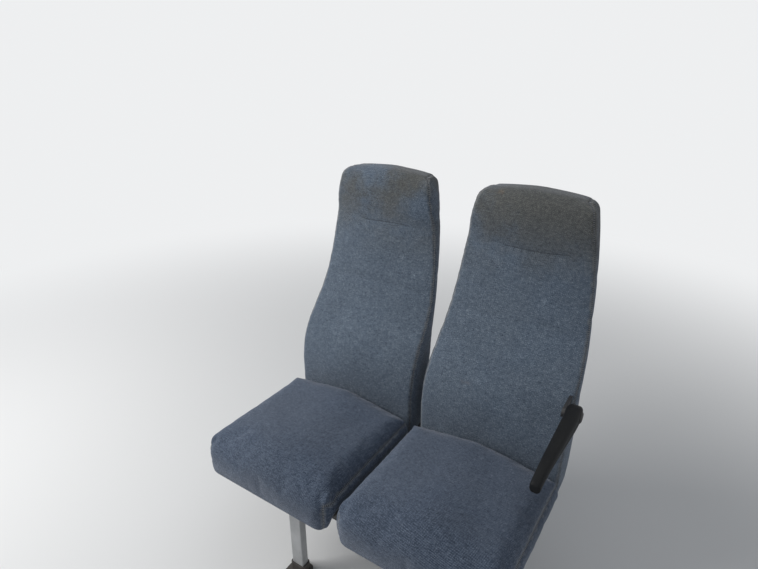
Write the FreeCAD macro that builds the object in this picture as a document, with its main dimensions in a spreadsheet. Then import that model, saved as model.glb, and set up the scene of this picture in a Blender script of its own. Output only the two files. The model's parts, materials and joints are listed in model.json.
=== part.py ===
import FreeCAD, Part
import math
import os
import Sketcher
from FreeCAD import Rotation, Vector

# Double passenger seat of a small bus: two tapered high backs, two cushions,
# one flip-up armrest on the aisle side, a tube frame on four legs.
# X runs across the seat, towards the aisle. Y runs from the sitter's knees to
# the back, Z is up. The origin is on the floor, in the middle of the four bolts.

doc = FreeCAD.newDocument("DoublePassengerSeat")
sheet = doc.addObject("Spreadsheet::Sheet", "Sizes")

# Driving sizes in millimetres, angles in degrees.
SIZES = [
    # alias, value, what it is
    ("seatPitch", 445, "centre to centre of the two places"),
    ("fitGap", 0.3, "air between a soft piece and what it seats on"),
    ("railSize", 38, "outside of the square frame tube"),
    ("railWall", 2.5, "wall of the square frame tube"),
    ("railCorner", 4, "outer corner radius of the square frame tube"),
    ("railEndInset", 36, "end of the front and rear rail inside of its place's edge"),
    ("railSpacing", 400, "front rail to rear rail, centre to centre"),
    ("railBottom", 307, "underside of the rails above the floor"),
    ("sideRailInset", 72.5, "centre of a side rail inside of its place's edge"),
    ("capThickness", 3, "flange of a rail end cap"),
    ("capPlug", 16, "depth of a rail end cap's plug"),
    ("legSpacing", 380, "window legs to aisle legs, centre to centre"),
    ("legWidth", 40, "leg tube across the seat"),
    ("legDepth", 25, "leg tube front to back"),
    ("legWall", 2, "wall of the leg tube"),
    ("legCorner", 3, "outer corner radius of the leg tube"),
    ("footWidth", 66, "foot plate across the seat"),
    ("footHeel", 24, "foot plate behind the leg's centre"),
    ("footToe", 62, "foot plate ahead of the leg's centre"),
    ("footThickness", 8, "foot plate"),
    ("footCorner", 12, "corner radius of the foot plate"),
    ("collarHeight", 34, "top of the foot's collar above the floor"),
    ("collarWall", 4, "wall of the foot's collar"),
    ("boltReach", 42, "floor bolt ahead of the leg's centre"),
    ("boltHole", 11, "diameter of a floor bolt hole"),
    ("baseInset", 18.5, "base board inside of its place's edge"),
    ("baseThickness", 24, "base board under a cushion"),
    ("baseRearInset", 8, "rear edge of the base board ahead of its cushion's"),
    ("baseCorner", 22, "corner radius of the base board"),
    ("baseBevel", 8, "bevel round the base board's underside"),
    ("cushionInset", 3.5, "cushion inside of its place's edge"),
    ("cushionFrontReach", 92, "front face of a cushion ahead of the front rail's centre"),
    ("cushionRearGap", 88, "rear face of a cushion ahead of the rear rail's centre"),
    ("cushionRearThickness", 92.7, "top of a cushion above its board, at its rear"),
    ("cushionFrontThickness", 110.7, "top line of a cushion above its board, at its front"),
    ("lipThickness", 36, "front roll where it hangs before the frame"),
    ("lipHang", 34, "underside of the front roll below the top of the board"),
    ("kneeRadius", 62, "roll at the front of a cushion"),
    ("cushionShoulderRise", 45.7, "shoulder of a cushion above its board"),
    ("cushionFlatInset", 110.5, "flat of a cushion's top inside of its place's edge"),
    ("cushionShoulderRound", 36, "roll at a cushion's shoulders"),
    ("cushionCrownRound", 110, "bend from a cushion's flat to its shoulders"),
    ("cushionCorner", 34, "corner radius of a cushion seen from above"),
    ("cushionEdge", 14, "small roll along a cushion's lower edges"),
    ("cushionRearRoll", 28, "roll along the top of a cushion's rear edge"),
    ("backTop", 1105, "top of a back above the floor"),
    ("leanFootReach", 44.4, "foot of the lean line ahead of the rear rail's centre"),
    ("leanAngle", 10.76, "lean of a back from upright"),
    ("backFrontCorner", 15, "front corner radius of a back seen from above"),
    ("backRearCorner", 30, "rear corner radius of a back seen from above"),
    ("backSideTaper", 6, "how far the sides of a back draw in towards its rear"),
    ("crownCorner", 18, "corner radius of a back's section at its very top"),
    ("hoopInset", 102.5, "centre of a back hoop's post inside of its place's edge"),
    ("hoopOffset", 45, "back hoop behind the lean line"),
    ("hoopTopDrop", 80, "crossbar of a back hoop below the back's top"),
    ("hoopSize", 25, "outside of the square tube of a back hoop"),
    ("hoopWall", 2, "wall of the back hoop tube"),
    ("hoopBend", 60, "bend radius of the back hoop"),
    ("armInset", 26, "inner face of the armrest inside of its place's edge"),
    ("armWidth", 35, "armrest across, at its pivot"),
    ("armTipWidth", 24, "armrest across, at its tip"),
    ("armAhead", 34.8, "armrest pivot ahead of the back's front at the loins"),
    ("armRise", 0.98, "armrest pivot above the back's section at the loins"),
    ("armLength", 264, "armrest pivot to the armrest's tip"),
    ("armRearHalf", 26, "half the height of the armrest at its pivot"),
    ("armTaper", 21, "fall of the armrest's top line from its rear to its bend"),
    ("armTipHeight", 27, "height of the armrest from its bend to its tip"),
    ("armTipReach", 70, "bend of the armrest to its tip"),
    ("armTipDrop", 14, "how far the armrest's tip turns down"),
    ("armTipSlant", 6, "underside of the tip behind its top"),
    ("armTopBend", 160, "radius of the bend in the armrest's top"),
    ("armUnderBend", 120, "radius of the bend in the armrest's underside"),
    ("armEndFlat", 4, "flat between the two arcs of the armrest's rear end"),
    ("armTipFlat", 5.4, "flat between the two arcs of the armrest's tip"),
    ("armEdge", 6, "bevel along the armrest's edges"),
    ("pinDiameter", 16, "pivot pin"),
    ("pinGap", 0.05, "radial running clearance of the pivot pin"),
    ("pinHead", 24, "diameter of the pivot pin's head"),
    ("pinHeadThickness", 3, "pivot pin's head"),
    ("plateThickness", 8, "steel plate that carries the armrest"),
    ("plateGap", 1.5, "air between the armrest and its plate"),
    ("plateHalfHeight", 13, "half the height of the armrest's plate"),
    ("plateCorner", 4, "corner radius of the armrest's plate at its rear"),
    ("plateNoseFlat", 1, "flat between the two arcs of the plate's nose"),
    ("crossDiameter", 22, "round bar from the back hoop to the armrest's plate"),
]

# Sections of a back, from its foot to its top. Each row makes four sizes, such as
# lumbarShare, lumbarInset, lumbarFront and lumbarRear.
BACK_STATIONS = [
    # station, how far down the back as a share of its height, side inside of the place's
    # edge, front ahead of and rear behind the lean line
    ("foot", 1, 17.5, 38, 78),
    ("heel", 0.928, 15.5, 50, 80),
    ("belt", 0.8424, 14.5, 63, 82),
    ("lumbar", 0.7371, 14.5, 70, 84),
    ("loin", 0.6318, 16.5, 50, 85),
    ("waist", 0.5265, 22.5, 2, 86),
    ("shoulder", 0.4081, 30.5, -20, 88),
    ("chest", 0.2896, 39.5, -20, 88),
    ("neck", 0.1843, 50.5, -12, 86),
    ("head", 0.0856, 61.5, 7, 84),
    ("brow", 0.0369, 70.5, 3, 80),
    ("crown", 0.0118, 84.5, -12, 70),
    ("top", 0, 114.5, -24, 58),
]

STATION_SIZES = [
    # ending of the alias, what it is
    ("Share", "below the back's top, as a share of the back's height"),
    ("Inset", "side of the back inside of its place's edge there"),
    ("Front", "front face ahead of the lean line"),
    ("Rear", "rear face behind the lean line"),
]

# Where the flats that stand for a round corner of a back meet, in degrees round the corner.
CORNER_ANGLES = (0, 45, 90)


def fill_sheet():
    rows = list(SIZES)
    for station in BACK_STATIONS:
        for (ending, meaning), number in zip(STATION_SIZES, station[1:]):
            rows.append((station[0] + ending, number, meaning))
    for line, (alias, number, meaning) in enumerate(rows, start=1):
        sheet.set("A%d" % line, meaning)
        sheet.set("B%d" % line, str(number))
        sheet.setAlias("B%d" % line, alias)
    doc.recompute()


def value(expression):
    """The number an expression of the sheet's sizes comes to."""
    result = sheet.evalExpression(str(expression))
    return float(getattr(result, "Value", result))


def size(alias):
    return "Sizes." + alias


def bind(target, prop, expression):
    target.setExpression(prop, str(expression))


fill_sheet()

# Heights and places that follow from the sizes.
RAIL_TOP = "(Sizes.railBottom + Sizes.railSize)"
RAIL_LENGTH = "(2 * (Sizes.seatPitch - Sizes.railEndInset))"
BASE_TOP = "(%s + Sizes.baseThickness)" % RAIL_TOP
FRONT_RAIL_Y = "(-Sizes.railSpacing / 2)"
REAR_RAIL_Y = "(Sizes.railSpacing / 2)"
CUSHION_FRONT = "(%s - Sizes.cushionFrontReach)" % FRONT_RAIL_Y
CUSHION_REAR = "(%s - Sizes.cushionRearGap)" % REAR_RAIL_Y
LIP_REAR = "(%s + Sizes.lipThickness)" % CUSHION_FRONT
BACK_HEIGHT = "(Sizes.backTop - %s - Sizes.fitGap)" % RAIL_TOP
LEAN_FOOT_Y = "(%s - Sizes.leanFootReach)" % REAR_RAIL_Y
PLACES = {"window": "(-Sizes.seatPitch / 2)", "aisle": "(Sizes.seatPitch / 2)"}


def from_edge(inset):
    """Distance from the middle of a place to a point inside of the place's edge."""
    return "(Sizes.seatPitch / 2 - %s)" % inset


def station_drop(name):
    """How far a section of the back is below the back's top."""
    return "(Sizes.%sShare * %s)" % (name, BACK_HEIGHT)


def lean_y(drop):
    """Y of the lean line at a drop below the back's top."""
    rise = "(Sizes.backTop - %s - %s)" % (RAIL_TOP, drop)
    return "(%s + tan(Sizes.leanAngle) * %s)" % (LEAN_FOOT_Y, rise)


# The armrest's pivot sits ahead of the back at the loins.
ARM_INNER_X = "(Sizes.seatPitch - Sizes.armInset)"
ARM_PIVOT_Y = "(%s - Sizes.loinFront - Sizes.armAhead)" % lean_y(station_drop("loin"))
ARM_PIVOT_Z = "(Sizes.backTop - %s + Sizes.armRise)" % station_drop("loin")


def make_body(label):
    body = doc.addObject("PartDesign::Body", label)
    body.Label = label
    return body


def origin_plane(body, role):
    return next(f for f in body.Origin.OriginFeatures if f.Role == role)


def make_sketch(body, name, role, offset=None):
    """A sketch on one of the body's origin planes, moved along its normal."""
    sketch = body.newObject("Sketcher::SketchObject", name)
    sketch.AttachmentSupport = [(origin_plane(body, role), "")]
    sketch.MapMode = "FlatFace"
    if offset is not None:
        bind(sketch, "AttachmentOffset.Base.z", offset)
    return sketch


def fix_point(sketch, geometry, position, corner):
    """Ties a point of the sketch to a place given by two expressions."""
    for kind, expression in zip(("DistanceX", "DistanceY"), corner[:2]):
        number = value(expression)
        constraint = Sketcher.Constraint(kind, -1, 1, geometry, position, number)
        index = sketch.addConstraint(constraint)
        bind(sketch, "Constraints[%d]" % index, expression)


def bend_points(corners, index, closed):
    """Where the lines beside a corner stop, and the middle of its arc."""
    count = len(corners)
    here = Vector(*corners[index][:2])
    radius = corners[index][2]
    is_end = not closed and index in (0, count - 1)
    if radius == 0 or is_end:
        return here, None, here
    before = (Vector(*corners[index - 1][:2]) - here).normalize()
    after = (Vector(*corners[(index + 1) % count][:2]) - here).normalize()
    half = before.getAngle(after) / 2
    reach = radius / math.tan(half)
    middle = here + (before + after).normalize() * (radius / math.sin(half) - radius)
    return here + before * reach, middle, here + after * reach


def add_outline(sketch, corners, closed=True):
    """Lines between the corners with tangent arcs in them. A corner is an
    expression for each of its two coordinates and one for its radius, or 0."""
    numbers = []
    for across, up, radius in corners:
        numbers.append((value(across), value(up), value(radius)))
    bends = [bend_points(numbers, i, closed) for i in range(len(corners))]
    line_count = len(corners) if closed else len(corners) - 1
    lines = []
    for i in range(line_count):
        start = bends[i][2]
        end = bends[(i + 1) % len(corners)][0]
        lines.append(sketch.addGeometry(Part.LineSegment(start, end)))
    for i, corner in enumerate(corners):
        line_in = lines[i - 1] if closed or i > 0 else None
        line_out = lines[i] if i < line_count else None
        if bends[i][1] is None:
            anchor = (line_out, 1) if line_out is not None else (line_in, 2)
            if line_in is not None and line_out is not None:
                sketch.addConstraint(Sketcher.Constraint("Coincident", line_in, 2, line_out, 1))
            fix_point(sketch, anchor[0], anchor[1], corner)
            continue
        spot = sketch.addGeometry(Part.Point(Vector(*numbers[i][:2])), True)
        fix_point(sketch, spot, 1, corner)
        sketch.addConstraint(Sketcher.Constraint("PointOnObject", spot, 1, line_in))
        sketch.addConstraint(Sketcher.Constraint("PointOnObject", spot, 1, line_out))
        arc = sketch.addGeometry(Part.Arc(*bends[i]))
        start, end = arc_ends(sketch, arc, bends[i][0])
        sketch.addConstraint(Sketcher.Constraint("Tangent", line_in, 2, arc, start))
        sketch.addConstraint(Sketcher.Constraint("Tangent", line_out, 1, arc, end))
        index = sketch.addConstraint(Sketcher.Constraint("Radius", arc, numbers[i][2]))
        bind(sketch, "Constraints[%d]" % index, corner[2])


def arc_ends(sketch, arc, first):
    """An arc runs anticlockwise, so its start may be either of its ends."""
    if sketch.getPoint(arc, 1).distanceToPoint(first) < 1e-6:
        return 1, 2
    return 2, 1


def add_circle(sketch, across, up, diameter):
    centre = Vector(value(across), value(up))
    radius = value(diameter) / 2
    circle = sketch.addGeometry(Part.Circle(centre, Vector(0, 0, 1), radius))
    fix_point(sketch, circle, 3, (across, up))
    index = sketch.addConstraint(Sketcher.Constraint("Diameter", circle, 2 * radius))
    bind(sketch, "Constraints[%d]" % index, diameter)


def rectangle(half_width, low, high, radius, middle="0"):
    """Corners of a rounded rectangle, given by its middle across and its two heights."""
    left = "(%s - (%s))" % (middle, half_width)
    right = "(%s + (%s))" % (middle, half_width)
    return [
        (left, low, radius),
        (right, low, radius),
        (right, high, radius),
        (left, high, radius),
    ]


def pad(body, sketch, length, side="One side", reversed_way=False):
    feature = body.newObject("PartDesign::Pad", "Pad")
    feature.Profile = sketch
    feature.SideType = side
    feature.Reversed = reversed_way
    bind(feature, "Length", length)
    sketch.Visibility = False
    return feature


def pocket(body, sketch, length, reversed_way=False):
    """A cut into the body, with the volume compared so that it isn't empty."""
    doc.recompute()
    before = body.Shape.Volume
    feature = body.newObject("PartDesign::Pocket", "Pocket")
    feature.Profile = sketch
    feature.Reversed = reversed_way
    bind(feature, "Length", length)
    doc.recompute()
    if body.Shape.Volume >= before:
        raise RuntimeError("a pocket cuts nothing in " + body.Label)
    return feature


def place(body, across, along, up):
    for axis, expression in zip("xyz", (across, along, up)):
        bind(body, "Placement.Base." + axis, expression)


def keep(piece, label):
    """Marks an object as one of the seat's pieces."""
    piece.Label = label
    pieces.append(piece)


pieces = []

# Two places closer than this count as one.
TOUCH = 0.01


# The frame: two rails across, four between them, caps in the open ends.

def make_square_tube(label, role, length):
    body = make_body(label)
    section = make_sketch(body, "Section", role)
    half = "Sizes.railSize / 2"
    inner = "(Sizes.railSize / 2 - Sizes.railWall)"
    add_outline(section, rectangle(half, "(-Sizes.railSize / 2)", half, size("railCorner")))
    add_outline(section, rectangle(inner, "(-%s)" % inner, inner, "0"))
    pad(body, section, length, "Symmetric")
    keep(body, label)
    return body


def make_frame():
    rail_middle = "(Sizes.railBottom + Sizes.railSize / 2)"
    for label, along in (("front_rail", FRONT_RAIL_Y), ("rear_rail", REAR_RAIL_Y)):
        rail = make_square_tube(label, "YZ_Plane", RAIL_LENGTH)
        place(rail, "0", along, rail_middle)
    between = "(Sizes.railSpacing - Sizes.railSize)"
    for side, middle in PLACES.items():
        for label, sign in (("left", "-"), ("right", "+")):
            name = "side_rail_%s_%s" % (side, label)
            rail = make_square_tube(name, "XZ_Plane", between)
            across = "%s %s %s" % (middle, sign, from_edge(size("sideRailInset")))
            place(rail, across, "0", rail_middle)


def make_rail_cap(label, along, turn):
    body = make_body(label)
    half = "Sizes.railSize / 2"
    flange = make_sketch(body, "Flange", "YZ_Plane")
    add_outline(flange, rectangle(half, "(-Sizes.railSize / 2)", half, size("railCorner")))
    pad(body, flange, size("capThickness"))
    plug_half = "(Sizes.railSize / 2 - Sizes.railWall - Sizes.fitGap)"
    plug = make_sketch(body, "Plug", "YZ_Plane")
    add_outline(plug, rectangle(plug_half, "(-%s)" % plug_half, plug_half, "0"))
    pad(body, plug, size("capPlug"), reversed_way=True)
    body.Placement.Rotation = Rotation(Vector(0, 0, 1), turn)
    across = "%s / 2" % RAIL_LENGTH if turn == 0 else "(-%s / 2)" % RAIL_LENGTH
    place(body, across, along, "(Sizes.railBottom + Sizes.railSize / 2)")
    keep(body, label)


def make_caps():
    for row, along in (("front", FRONT_RAIL_Y), ("rear", REAR_RAIL_Y)):
        make_rail_cap("rail_cap_%s_window" % row, along, 180)
        make_rail_cap("rail_cap_%s_aisle" % row, along, 0)


# Legs and feet. A foot is a plate with a collar, and its toe points outwards.

def make_leg(label, across, along):
    body = make_body(label)
    half = "Sizes.legWidth / 2"
    half_depth = "Sizes.legDepth / 2"
    inner = "(Sizes.legWidth / 2 - Sizes.legWall)"
    inner_depth = "(Sizes.legDepth / 2 - Sizes.legWall)"
    section = make_sketch(body, "Section", "XY_Plane")
    add_outline(section, rectangle(half, "(-%s)" % half_depth, half_depth, size("legCorner")))
    add_outline(section, rectangle(inner, "(-%s)" % inner_depth, inner_depth, "0"))
    pad(body, section, "Sizes.railBottom - Sizes.footThickness")
    place(body, across, along, size("footThickness"))
    keep(body, label)


def make_foot(label, across, along, turn):
    body = make_body(label)
    half = "Sizes.footWidth / 2"
    plate = make_sketch(body, "Plate", "XY_Plane")
    add_outline(plate, rectangle(half, "(-Sizes.footToe)", size("footHeel"), size("footCorner")))
    pad(body, plate, size("footThickness"))
    collar = make_sketch(body, "Collar", "XY_Plane", size("footThickness"))
    reach = "(Sizes.legWidth / 2 + Sizes.fitGap + Sizes.collarWall)"
    reach_deep = "(Sizes.legDepth / 2 + Sizes.fitGap + Sizes.collarWall)"
    outer_corner = "(Sizes.legCorner + Sizes.collarWall)"
    add_outline(collar, rectangle(reach, "(-%s)" % reach_deep, reach_deep, outer_corner))
    hole = "(Sizes.legWidth / 2 + Sizes.fitGap)"
    hole_deep = "(Sizes.legDepth / 2 + Sizes.fitGap)"
    add_outline(collar, rectangle(hole, "(-%s)" % hole_deep, hole_deep, "0"))
    pad(body, collar, "Sizes.collarHeight - Sizes.footThickness")
    bolt = make_sketch(body, "Bolt", "XY_Plane")
    add_circle(bolt, "0", "(-Sizes.boltReach)", size("boltHole"))
    pocket(body, bolt, size("footThickness"), reversed_way=True)
    body.Placement.Rotation = Rotation(Vector(0, 0, 1), turn)
    place(body, across, along, "0")
    keep(body, label)


def make_legs():
    sides = (("window", "(-Sizes.legSpacing / 2)"), ("aisle", "Sizes.legSpacing / 2"))
    rows = (("front", FRONT_RAIL_Y, 0), ("rear", REAR_RAIL_Y, 180))
    for side, across in sides:
        for row, along, turn in rows:
            make_leg("leg_%s_%s" % (row, side), across, along)
            make_foot("foot_%s_%s" % (row, side), across, along, turn)


# Base boards and cushions.

def make_base(side, middle):
    body = make_body("seat_base_" + side)
    board = make_sketch(body, "Board", "XY_Plane")
    front = "(%s + Sizes.fitGap)" % LIP_REAR
    rear = "(%s - Sizes.baseRearInset)" % CUSHION_REAR
    half = from_edge(size("baseInset"))
    add_outline(board, rectangle(half, front, rear, size("baseCorner")))
    slab = pad(body, board, size("baseThickness"))
    doc.recompute()
    low_edges = []
    for number, edge in enumerate(slab.Shape.Edges, start=1):
        if edge.BoundBox.ZMax < TOUCH:
            low_edges.append("Edge%d" % number)
    bevel = body.newObject("PartDesign::Chamfer", "Bevel")
    bevel.Base = (slab, low_edges)
    bind(bevel, "Size", size("baseBevel"))
    place(body, middle, "0", RAIL_TOP)
    keep(body, "seat_base_" + side)


def make_cushion(side, middle):
    """What three outlines leave of each other: from the side, the front and above."""
    edge = size("cushionEdge")
    seat_bottom = "(%s + Sizes.fitGap)" % BASE_TOP
    half = from_edge(size("cushionInset"))
    top = "(%s + Sizes.cushionFrontThickness)" % seat_bottom
    low = "(%s - Sizes.lipHang)" % BASE_TOP
    side_body = make_body("cushion_side_view_" + side)
    profile = make_sketch(side_body, "Profile", "YZ_Plane")
    add_outline(profile, [
        (CUSHION_REAR, seat_bottom, edge),
        (CUSHION_REAR, "(%s + Sizes.cushionRearThickness)" % seat_bottom, size("cushionRearRoll")),
        (CUSHION_FRONT, top, size("kneeRadius")),
        (CUSHION_FRONT, low, edge),
        (LIP_REAR, low, edge),
        (LIP_REAR, seat_bottom, "0"),
    ])
    pad(side_body, profile, "2 * " + half, "Symmetric")
    front_body = make_body("cushion_front_view_" + side)
    section = make_sketch(front_body, "Section", "XZ_Plane")
    left = "(-%s)" % half
    shoulder = "(%s + Sizes.cushionShoulderRise)" % seat_bottom
    flat_half = from_edge(size("cushionFlatInset"))
    shoulder_round = size("cushionShoulderRound")
    crown_round = size("cushionCrownRound")
    add_outline(section, [
        (left, low, edge),
        (half, low, edge),
        (half, shoulder, shoulder_round),
        (flat_half, top, crown_round),
        ("(-%s)" % flat_half, top, crown_round),
        (left, shoulder, shoulder_round),
    ])
    pad(front_body, section, "%s - %s" % (CUSHION_REAR, CUSHION_FRONT))
    bind(front_body, "Placement.Base.y", CUSHION_REAR)
    plan_body = make_body("cushion_plan_" + side)
    plan = make_sketch(plan_body, "Plan", "XY_Plane", low)
    add_outline(plan, rectangle(half, CUSHION_FRONT, CUSHION_REAR, size("cushionCorner")))
    pad(plan_body, plan, "%s - %s" % (top, low))
    cushion = doc.addObject("Part::MultiCommon", "Cushion")
    cushion.Shapes = [side_body, front_body, plan_body]
    bind(cushion, "Placement.Base.x", middle)
    keep(cushion, "seat_cushion_" + side)


# Backs: a hoop of tube on the rear rail, and a contoured pad around it.

def add_square(sketch, width, middle):
    half = "(%s) / 2" % width
    add_outline(sketch, rectangle(half, "(-%s)" % half, half, "0", middle))


def make_hoop_sweep(label, middle, width, wall):
    """A square pipe up one post, across and down the other, in the back's leaning plane.
    It starts below the rail's top, and its foot is cut level afterwards."""
    body = make_body(label)
    tail = "(-Sizes.hoopSize)"
    right = from_edge(size("hoopInset"))
    left = "(-%s)" % right
    rise = "((Sizes.backTop - Sizes.hoopTopDrop - %s) / cos(Sizes.leanAngle))" % RAIL_TOP
    bend = size("hoopBend")
    path = make_sketch(body, "Path", "XZ_Plane")
    corners = [(left, tail, "0"), (left, rise, bend), (right, rise, bend), (right, tail, "0")]
    add_outline(path, corners, closed=False)
    ring = make_sketch(body, "Ring", "XY_Plane", tail)
    add_square(ring, width, left)
    if wall:
        add_square(ring, "%s - 2 * %s" % (width, wall), left)
    doc.recompute()
    sweep = body.newObject("PartDesign::AdditivePipe", "Sweep")
    sweep.Profile = ring
    sweep.Spine = path
    place(body, middle, "%s + Sizes.hoopOffset" % LEAN_FOOT_Y, RAIL_TOP)
    body.Placement.Rotation = Rotation(Vector(1, 0, 0), -value(size("leanAngle")))
    bind(body, "Placement.Rotation.Angle", size("leanAngle"))
    bind(body, "Placement.Rotation.Axis.x", "-1")
    return body


def make_hoop(side, middle):
    label = "back_frame_" + side
    sweep = make_hoop_sweep(label + "_sweep", middle, size("hoopSize"), size("hoopWall"))
    trim = doc.addObject("Part::Box", "Trim")
    reach = "(2 * (%s + Sizes.hoopSize))" % from_edge(size("hoopInset"))
    bind(trim, "Length", reach)
    bind(trim, "Width", reach)
    bind(trim, "Height", "2 * Sizes.hoopSize")
    place(trim, "%s - %s / 2" % (middle, reach), "%s - %s / 2" % (LEAN_FOOT_Y, reach),
          "%s - 2 * Sizes.hoopSize" % RAIL_TOP)
    hoop = doc.addObject("Part::Cut", "Hoop")
    hoop.Base = sweep
    hoop.Tool = trim
    keep(hoop, label)


def flat_corner(across, along, radius, before, after):
    """Points of the flats that stand for a round corner. Before and after say which way
    the outline comes from and goes to, as steps of 1, 0 or -1 in X and Y."""
    points = []
    for angle in CORNER_ANGLES:
        back_share = "%s * (1 - sin(%d))" % (radius, angle)
        on_share = "%s * (1 - cos(%d))" % (radius, angle)
        x = "(%s + %d * %s + %d * %s)" % (across, before[0], back_share, after[0], on_share)
        y = "(%s + %d * %s + %d * %s)" % (along, before[1], back_share, after[1], on_share)
        points.append((x, y, "0"))
    return points


def back_section(name):
    """Corners of one of a back's level sections, less round and wider in front than behind."""
    drop = station_drop(name)
    front = "(%s - Sizes.%sFront)" % (lean_y(drop), name)
    rear = "(%s + Sizes.%sRear)" % (lean_y(drop), name)
    right = from_edge("Sizes.%sInset" % name)
    at_crown = name in ("crown", "top")
    front_corner = size("crownCorner" if at_crown else "backFrontCorner")
    rear_corner = size("crownCorner" if at_crown else "backRearCorner")
    flank = "(%s - %s - %s - %s)" % (rear, front, front_corner, rear_corner)
    right_rear = "(%s - %s * tan(Sizes.backSideTaper))" % (right, flank)
    section = flat_corner("(-%s)" % right, front, front_corner, (0, 1), (1, 0))
    section += flat_corner(right, front, front_corner, (-1, 0), (0, 1))
    section += flat_corner(right_rear, rear, rear_corner, (0, -1), (-1, 0))
    section += flat_corner("(-%s)" % right_rear, rear, rear_corner, (1, 0), (0, -1))
    return section


def make_back_form(side, middle):
    """The contoured outside of a back, lofted through its stations."""
    body = make_body("back_form_" + side)
    sections = []
    for station in BACK_STATIONS:
        name = station[0]
        height = "Sizes.backTop - " + station_drop(name)
        sketch = make_sketch(body, name, "XY_Plane", height)
        add_outline(sketch, back_section(name))
        sections.append(sketch)
    doc.recompute()
    loft = body.newObject("PartDesign::AdditiveLoft", "Loft")
    loft.Profile = sections[0]
    loft.Sections = sections[1:]
    loft.Ruled = True
    bind(body, "Placement.Base.x", middle)
    return body


def make_arm_plate(label, grown):
    """The plate that carries the armrest, and the round bar from the hoop's aisle post
    to the plate. Grown is how much larger all of it is, for the room it lies in."""
    body = make_body(label)
    post_drop = "(Sizes.backTop - %s)" % ARM_PIVOT_Z
    post_y = "(%s + Sizes.hoopOffset)" % lean_y(post_drop)
    high = "(%s + Sizes.plateHalfHeight + %s)" % (ARM_PIVOT_Z, grown)
    low = "(%s - Sizes.plateHalfHeight - %s)" % (ARM_PIVOT_Z, grown)
    near = "(%s - Sizes.plateHalfHeight - %s)" % (ARM_PIVOT_Y, grown)
    far = "(%s + Sizes.plateHalfHeight + %s)" % (post_y, grown)
    nose = "(Sizes.plateHalfHeight + %s - Sizes.plateNoseFlat / 2)" % grown
    heel = "(Sizes.plateCorner + %s)" % grown
    inner = "(%s - Sizes.plateGap - Sizes.plateThickness - %s)" % (ARM_INNER_X, grown)
    plate = make_sketch(body, "Plate", "YZ_Plane", inner)
    add_outline(plate, [(near, low, nose), (far, low, heel), (far, high, heel), (near, high, nose)])
    pad(body, plate, "Sizes.plateThickness + 2 * %s" % grown)
    post = "(Sizes.seatPitch / 2 + %s + Sizes.hoopSize / 2)" % from_edge(size("hoopInset"))
    cross = make_sketch(body, "Cross", "YZ_Plane", post)
    add_circle(cross, post_y, ARM_PIVOT_Z, "Sizes.crossDiameter + 2 * %s" % grown)
    pad(body, cross, "%s - %s" % (inner, post))
    return body


def make_back(side, middle):
    """The pad is the form less the room for what is inside it."""
    room = "Sizes.hoopSize + 2 * Sizes.fitGap"
    inside = make_hoop_sweep("hoop_room_" + side, middle, room, None)
    if side == "aisle":
        rooms = doc.addObject("Part::Fuse", "Rooms")
        rooms.Base = inside
        rooms.Tool = make_arm_plate("plate_room", size("fitGap"))
        inside = rooms
    back = doc.addObject("Part::Cut", "Back")
    back.Base = make_back_form(side, middle)
    back.Tool = inside
    keep(back, "back_pad_" + side)


# The armrest: a moulded bar that flips up about its pin.

def make_pivot():
    body = make_arm_plate("armrest_pivot", "0")
    plate_face = "(%s - Sizes.plateGap)" % ARM_INNER_X
    head_start = "(%s + Sizes.armWidth + Sizes.fitGap)" % ARM_INNER_X
    pin = make_sketch(body, "Pin", "YZ_Plane", plate_face)
    add_circle(pin, ARM_PIVOT_Y, ARM_PIVOT_Z, size("pinDiameter"))
    pad(body, pin, "%s - %s" % (head_start, plate_face))
    head = make_sketch(body, "Head", "YZ_Plane", head_start)
    add_circle(head, ARM_PIVOT_Y, ARM_PIVOT_Z, size("pinHead"))
    pad(body, head, size("pinHeadThickness"))
    keep(body, "armrest_pivot")


def add_armrest_profile(sketch):
    """The armrest from its side: a round rear end, and a tip that turns down."""
    rear = "(%s + Sizes.armRearHalf)" % ARM_PIVOT_Y
    high = "(%s + Sizes.armRearHalf)" % ARM_PIVOT_Z
    low = "(%s - Sizes.armRearHalf)" % ARM_PIVOT_Z
    tip = "(%s - Sizes.armLength)" % ARM_PIVOT_Y
    bend = "(%s + Sizes.armTipReach)" % tip
    bend_high = "(%s - Sizes.armTaper)" % high
    bend_low = "(%s - Sizes.armTipHeight)" % bend_high
    tip_high = "(%s - Sizes.armTipDrop)" % bend_high
    tip_low = "(%s - Sizes.armTipHeight)" % tip_high
    round_end = "(Sizes.armRearHalf - Sizes.armEndFlat / 2)"
    round_tip = "((Sizes.armTipHeight - Sizes.armTipFlat) / 2)"
    add_outline(sketch, [
        (rear, low, round_end),
        (rear, high, round_end),
        (bend, bend_high, size("armTopBend")),
        (tip, tip_high, round_tip),
        ("(%s + Sizes.armTipSlant)" % tip, tip_low, round_tip),
        (bend, bend_low, size("armUnderBend")),
    ])


def cut_armrest_taper(body):
    """A wedge off the aisle side, which makes the bar narrower towards its tip."""
    start = "(%s - Sizes.armRearHalf)" % ARM_PIVOT_Y
    end = "(%s - Sizes.armLength - Sizes.armRearHalf)" % ARM_PIVOT_Y
    outside = "(Sizes.armWidth + Sizes.armRearHalf)"
    below = "%s - 2 * Sizes.armRearHalf" % ARM_PIVOT_Z
    wedge = make_sketch(body, "Wedge", "XY_Plane", below)
    add_outline(wedge, [
        (size("armWidth"), start, "0"),
        (outside, start, "0"),
        (outside, end, "0"),
        (size("armTipWidth"), end, "0"),
    ])
    return pocket(body, wedge, "4 * Sizes.armRearHalf", reversed_way=True)


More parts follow.
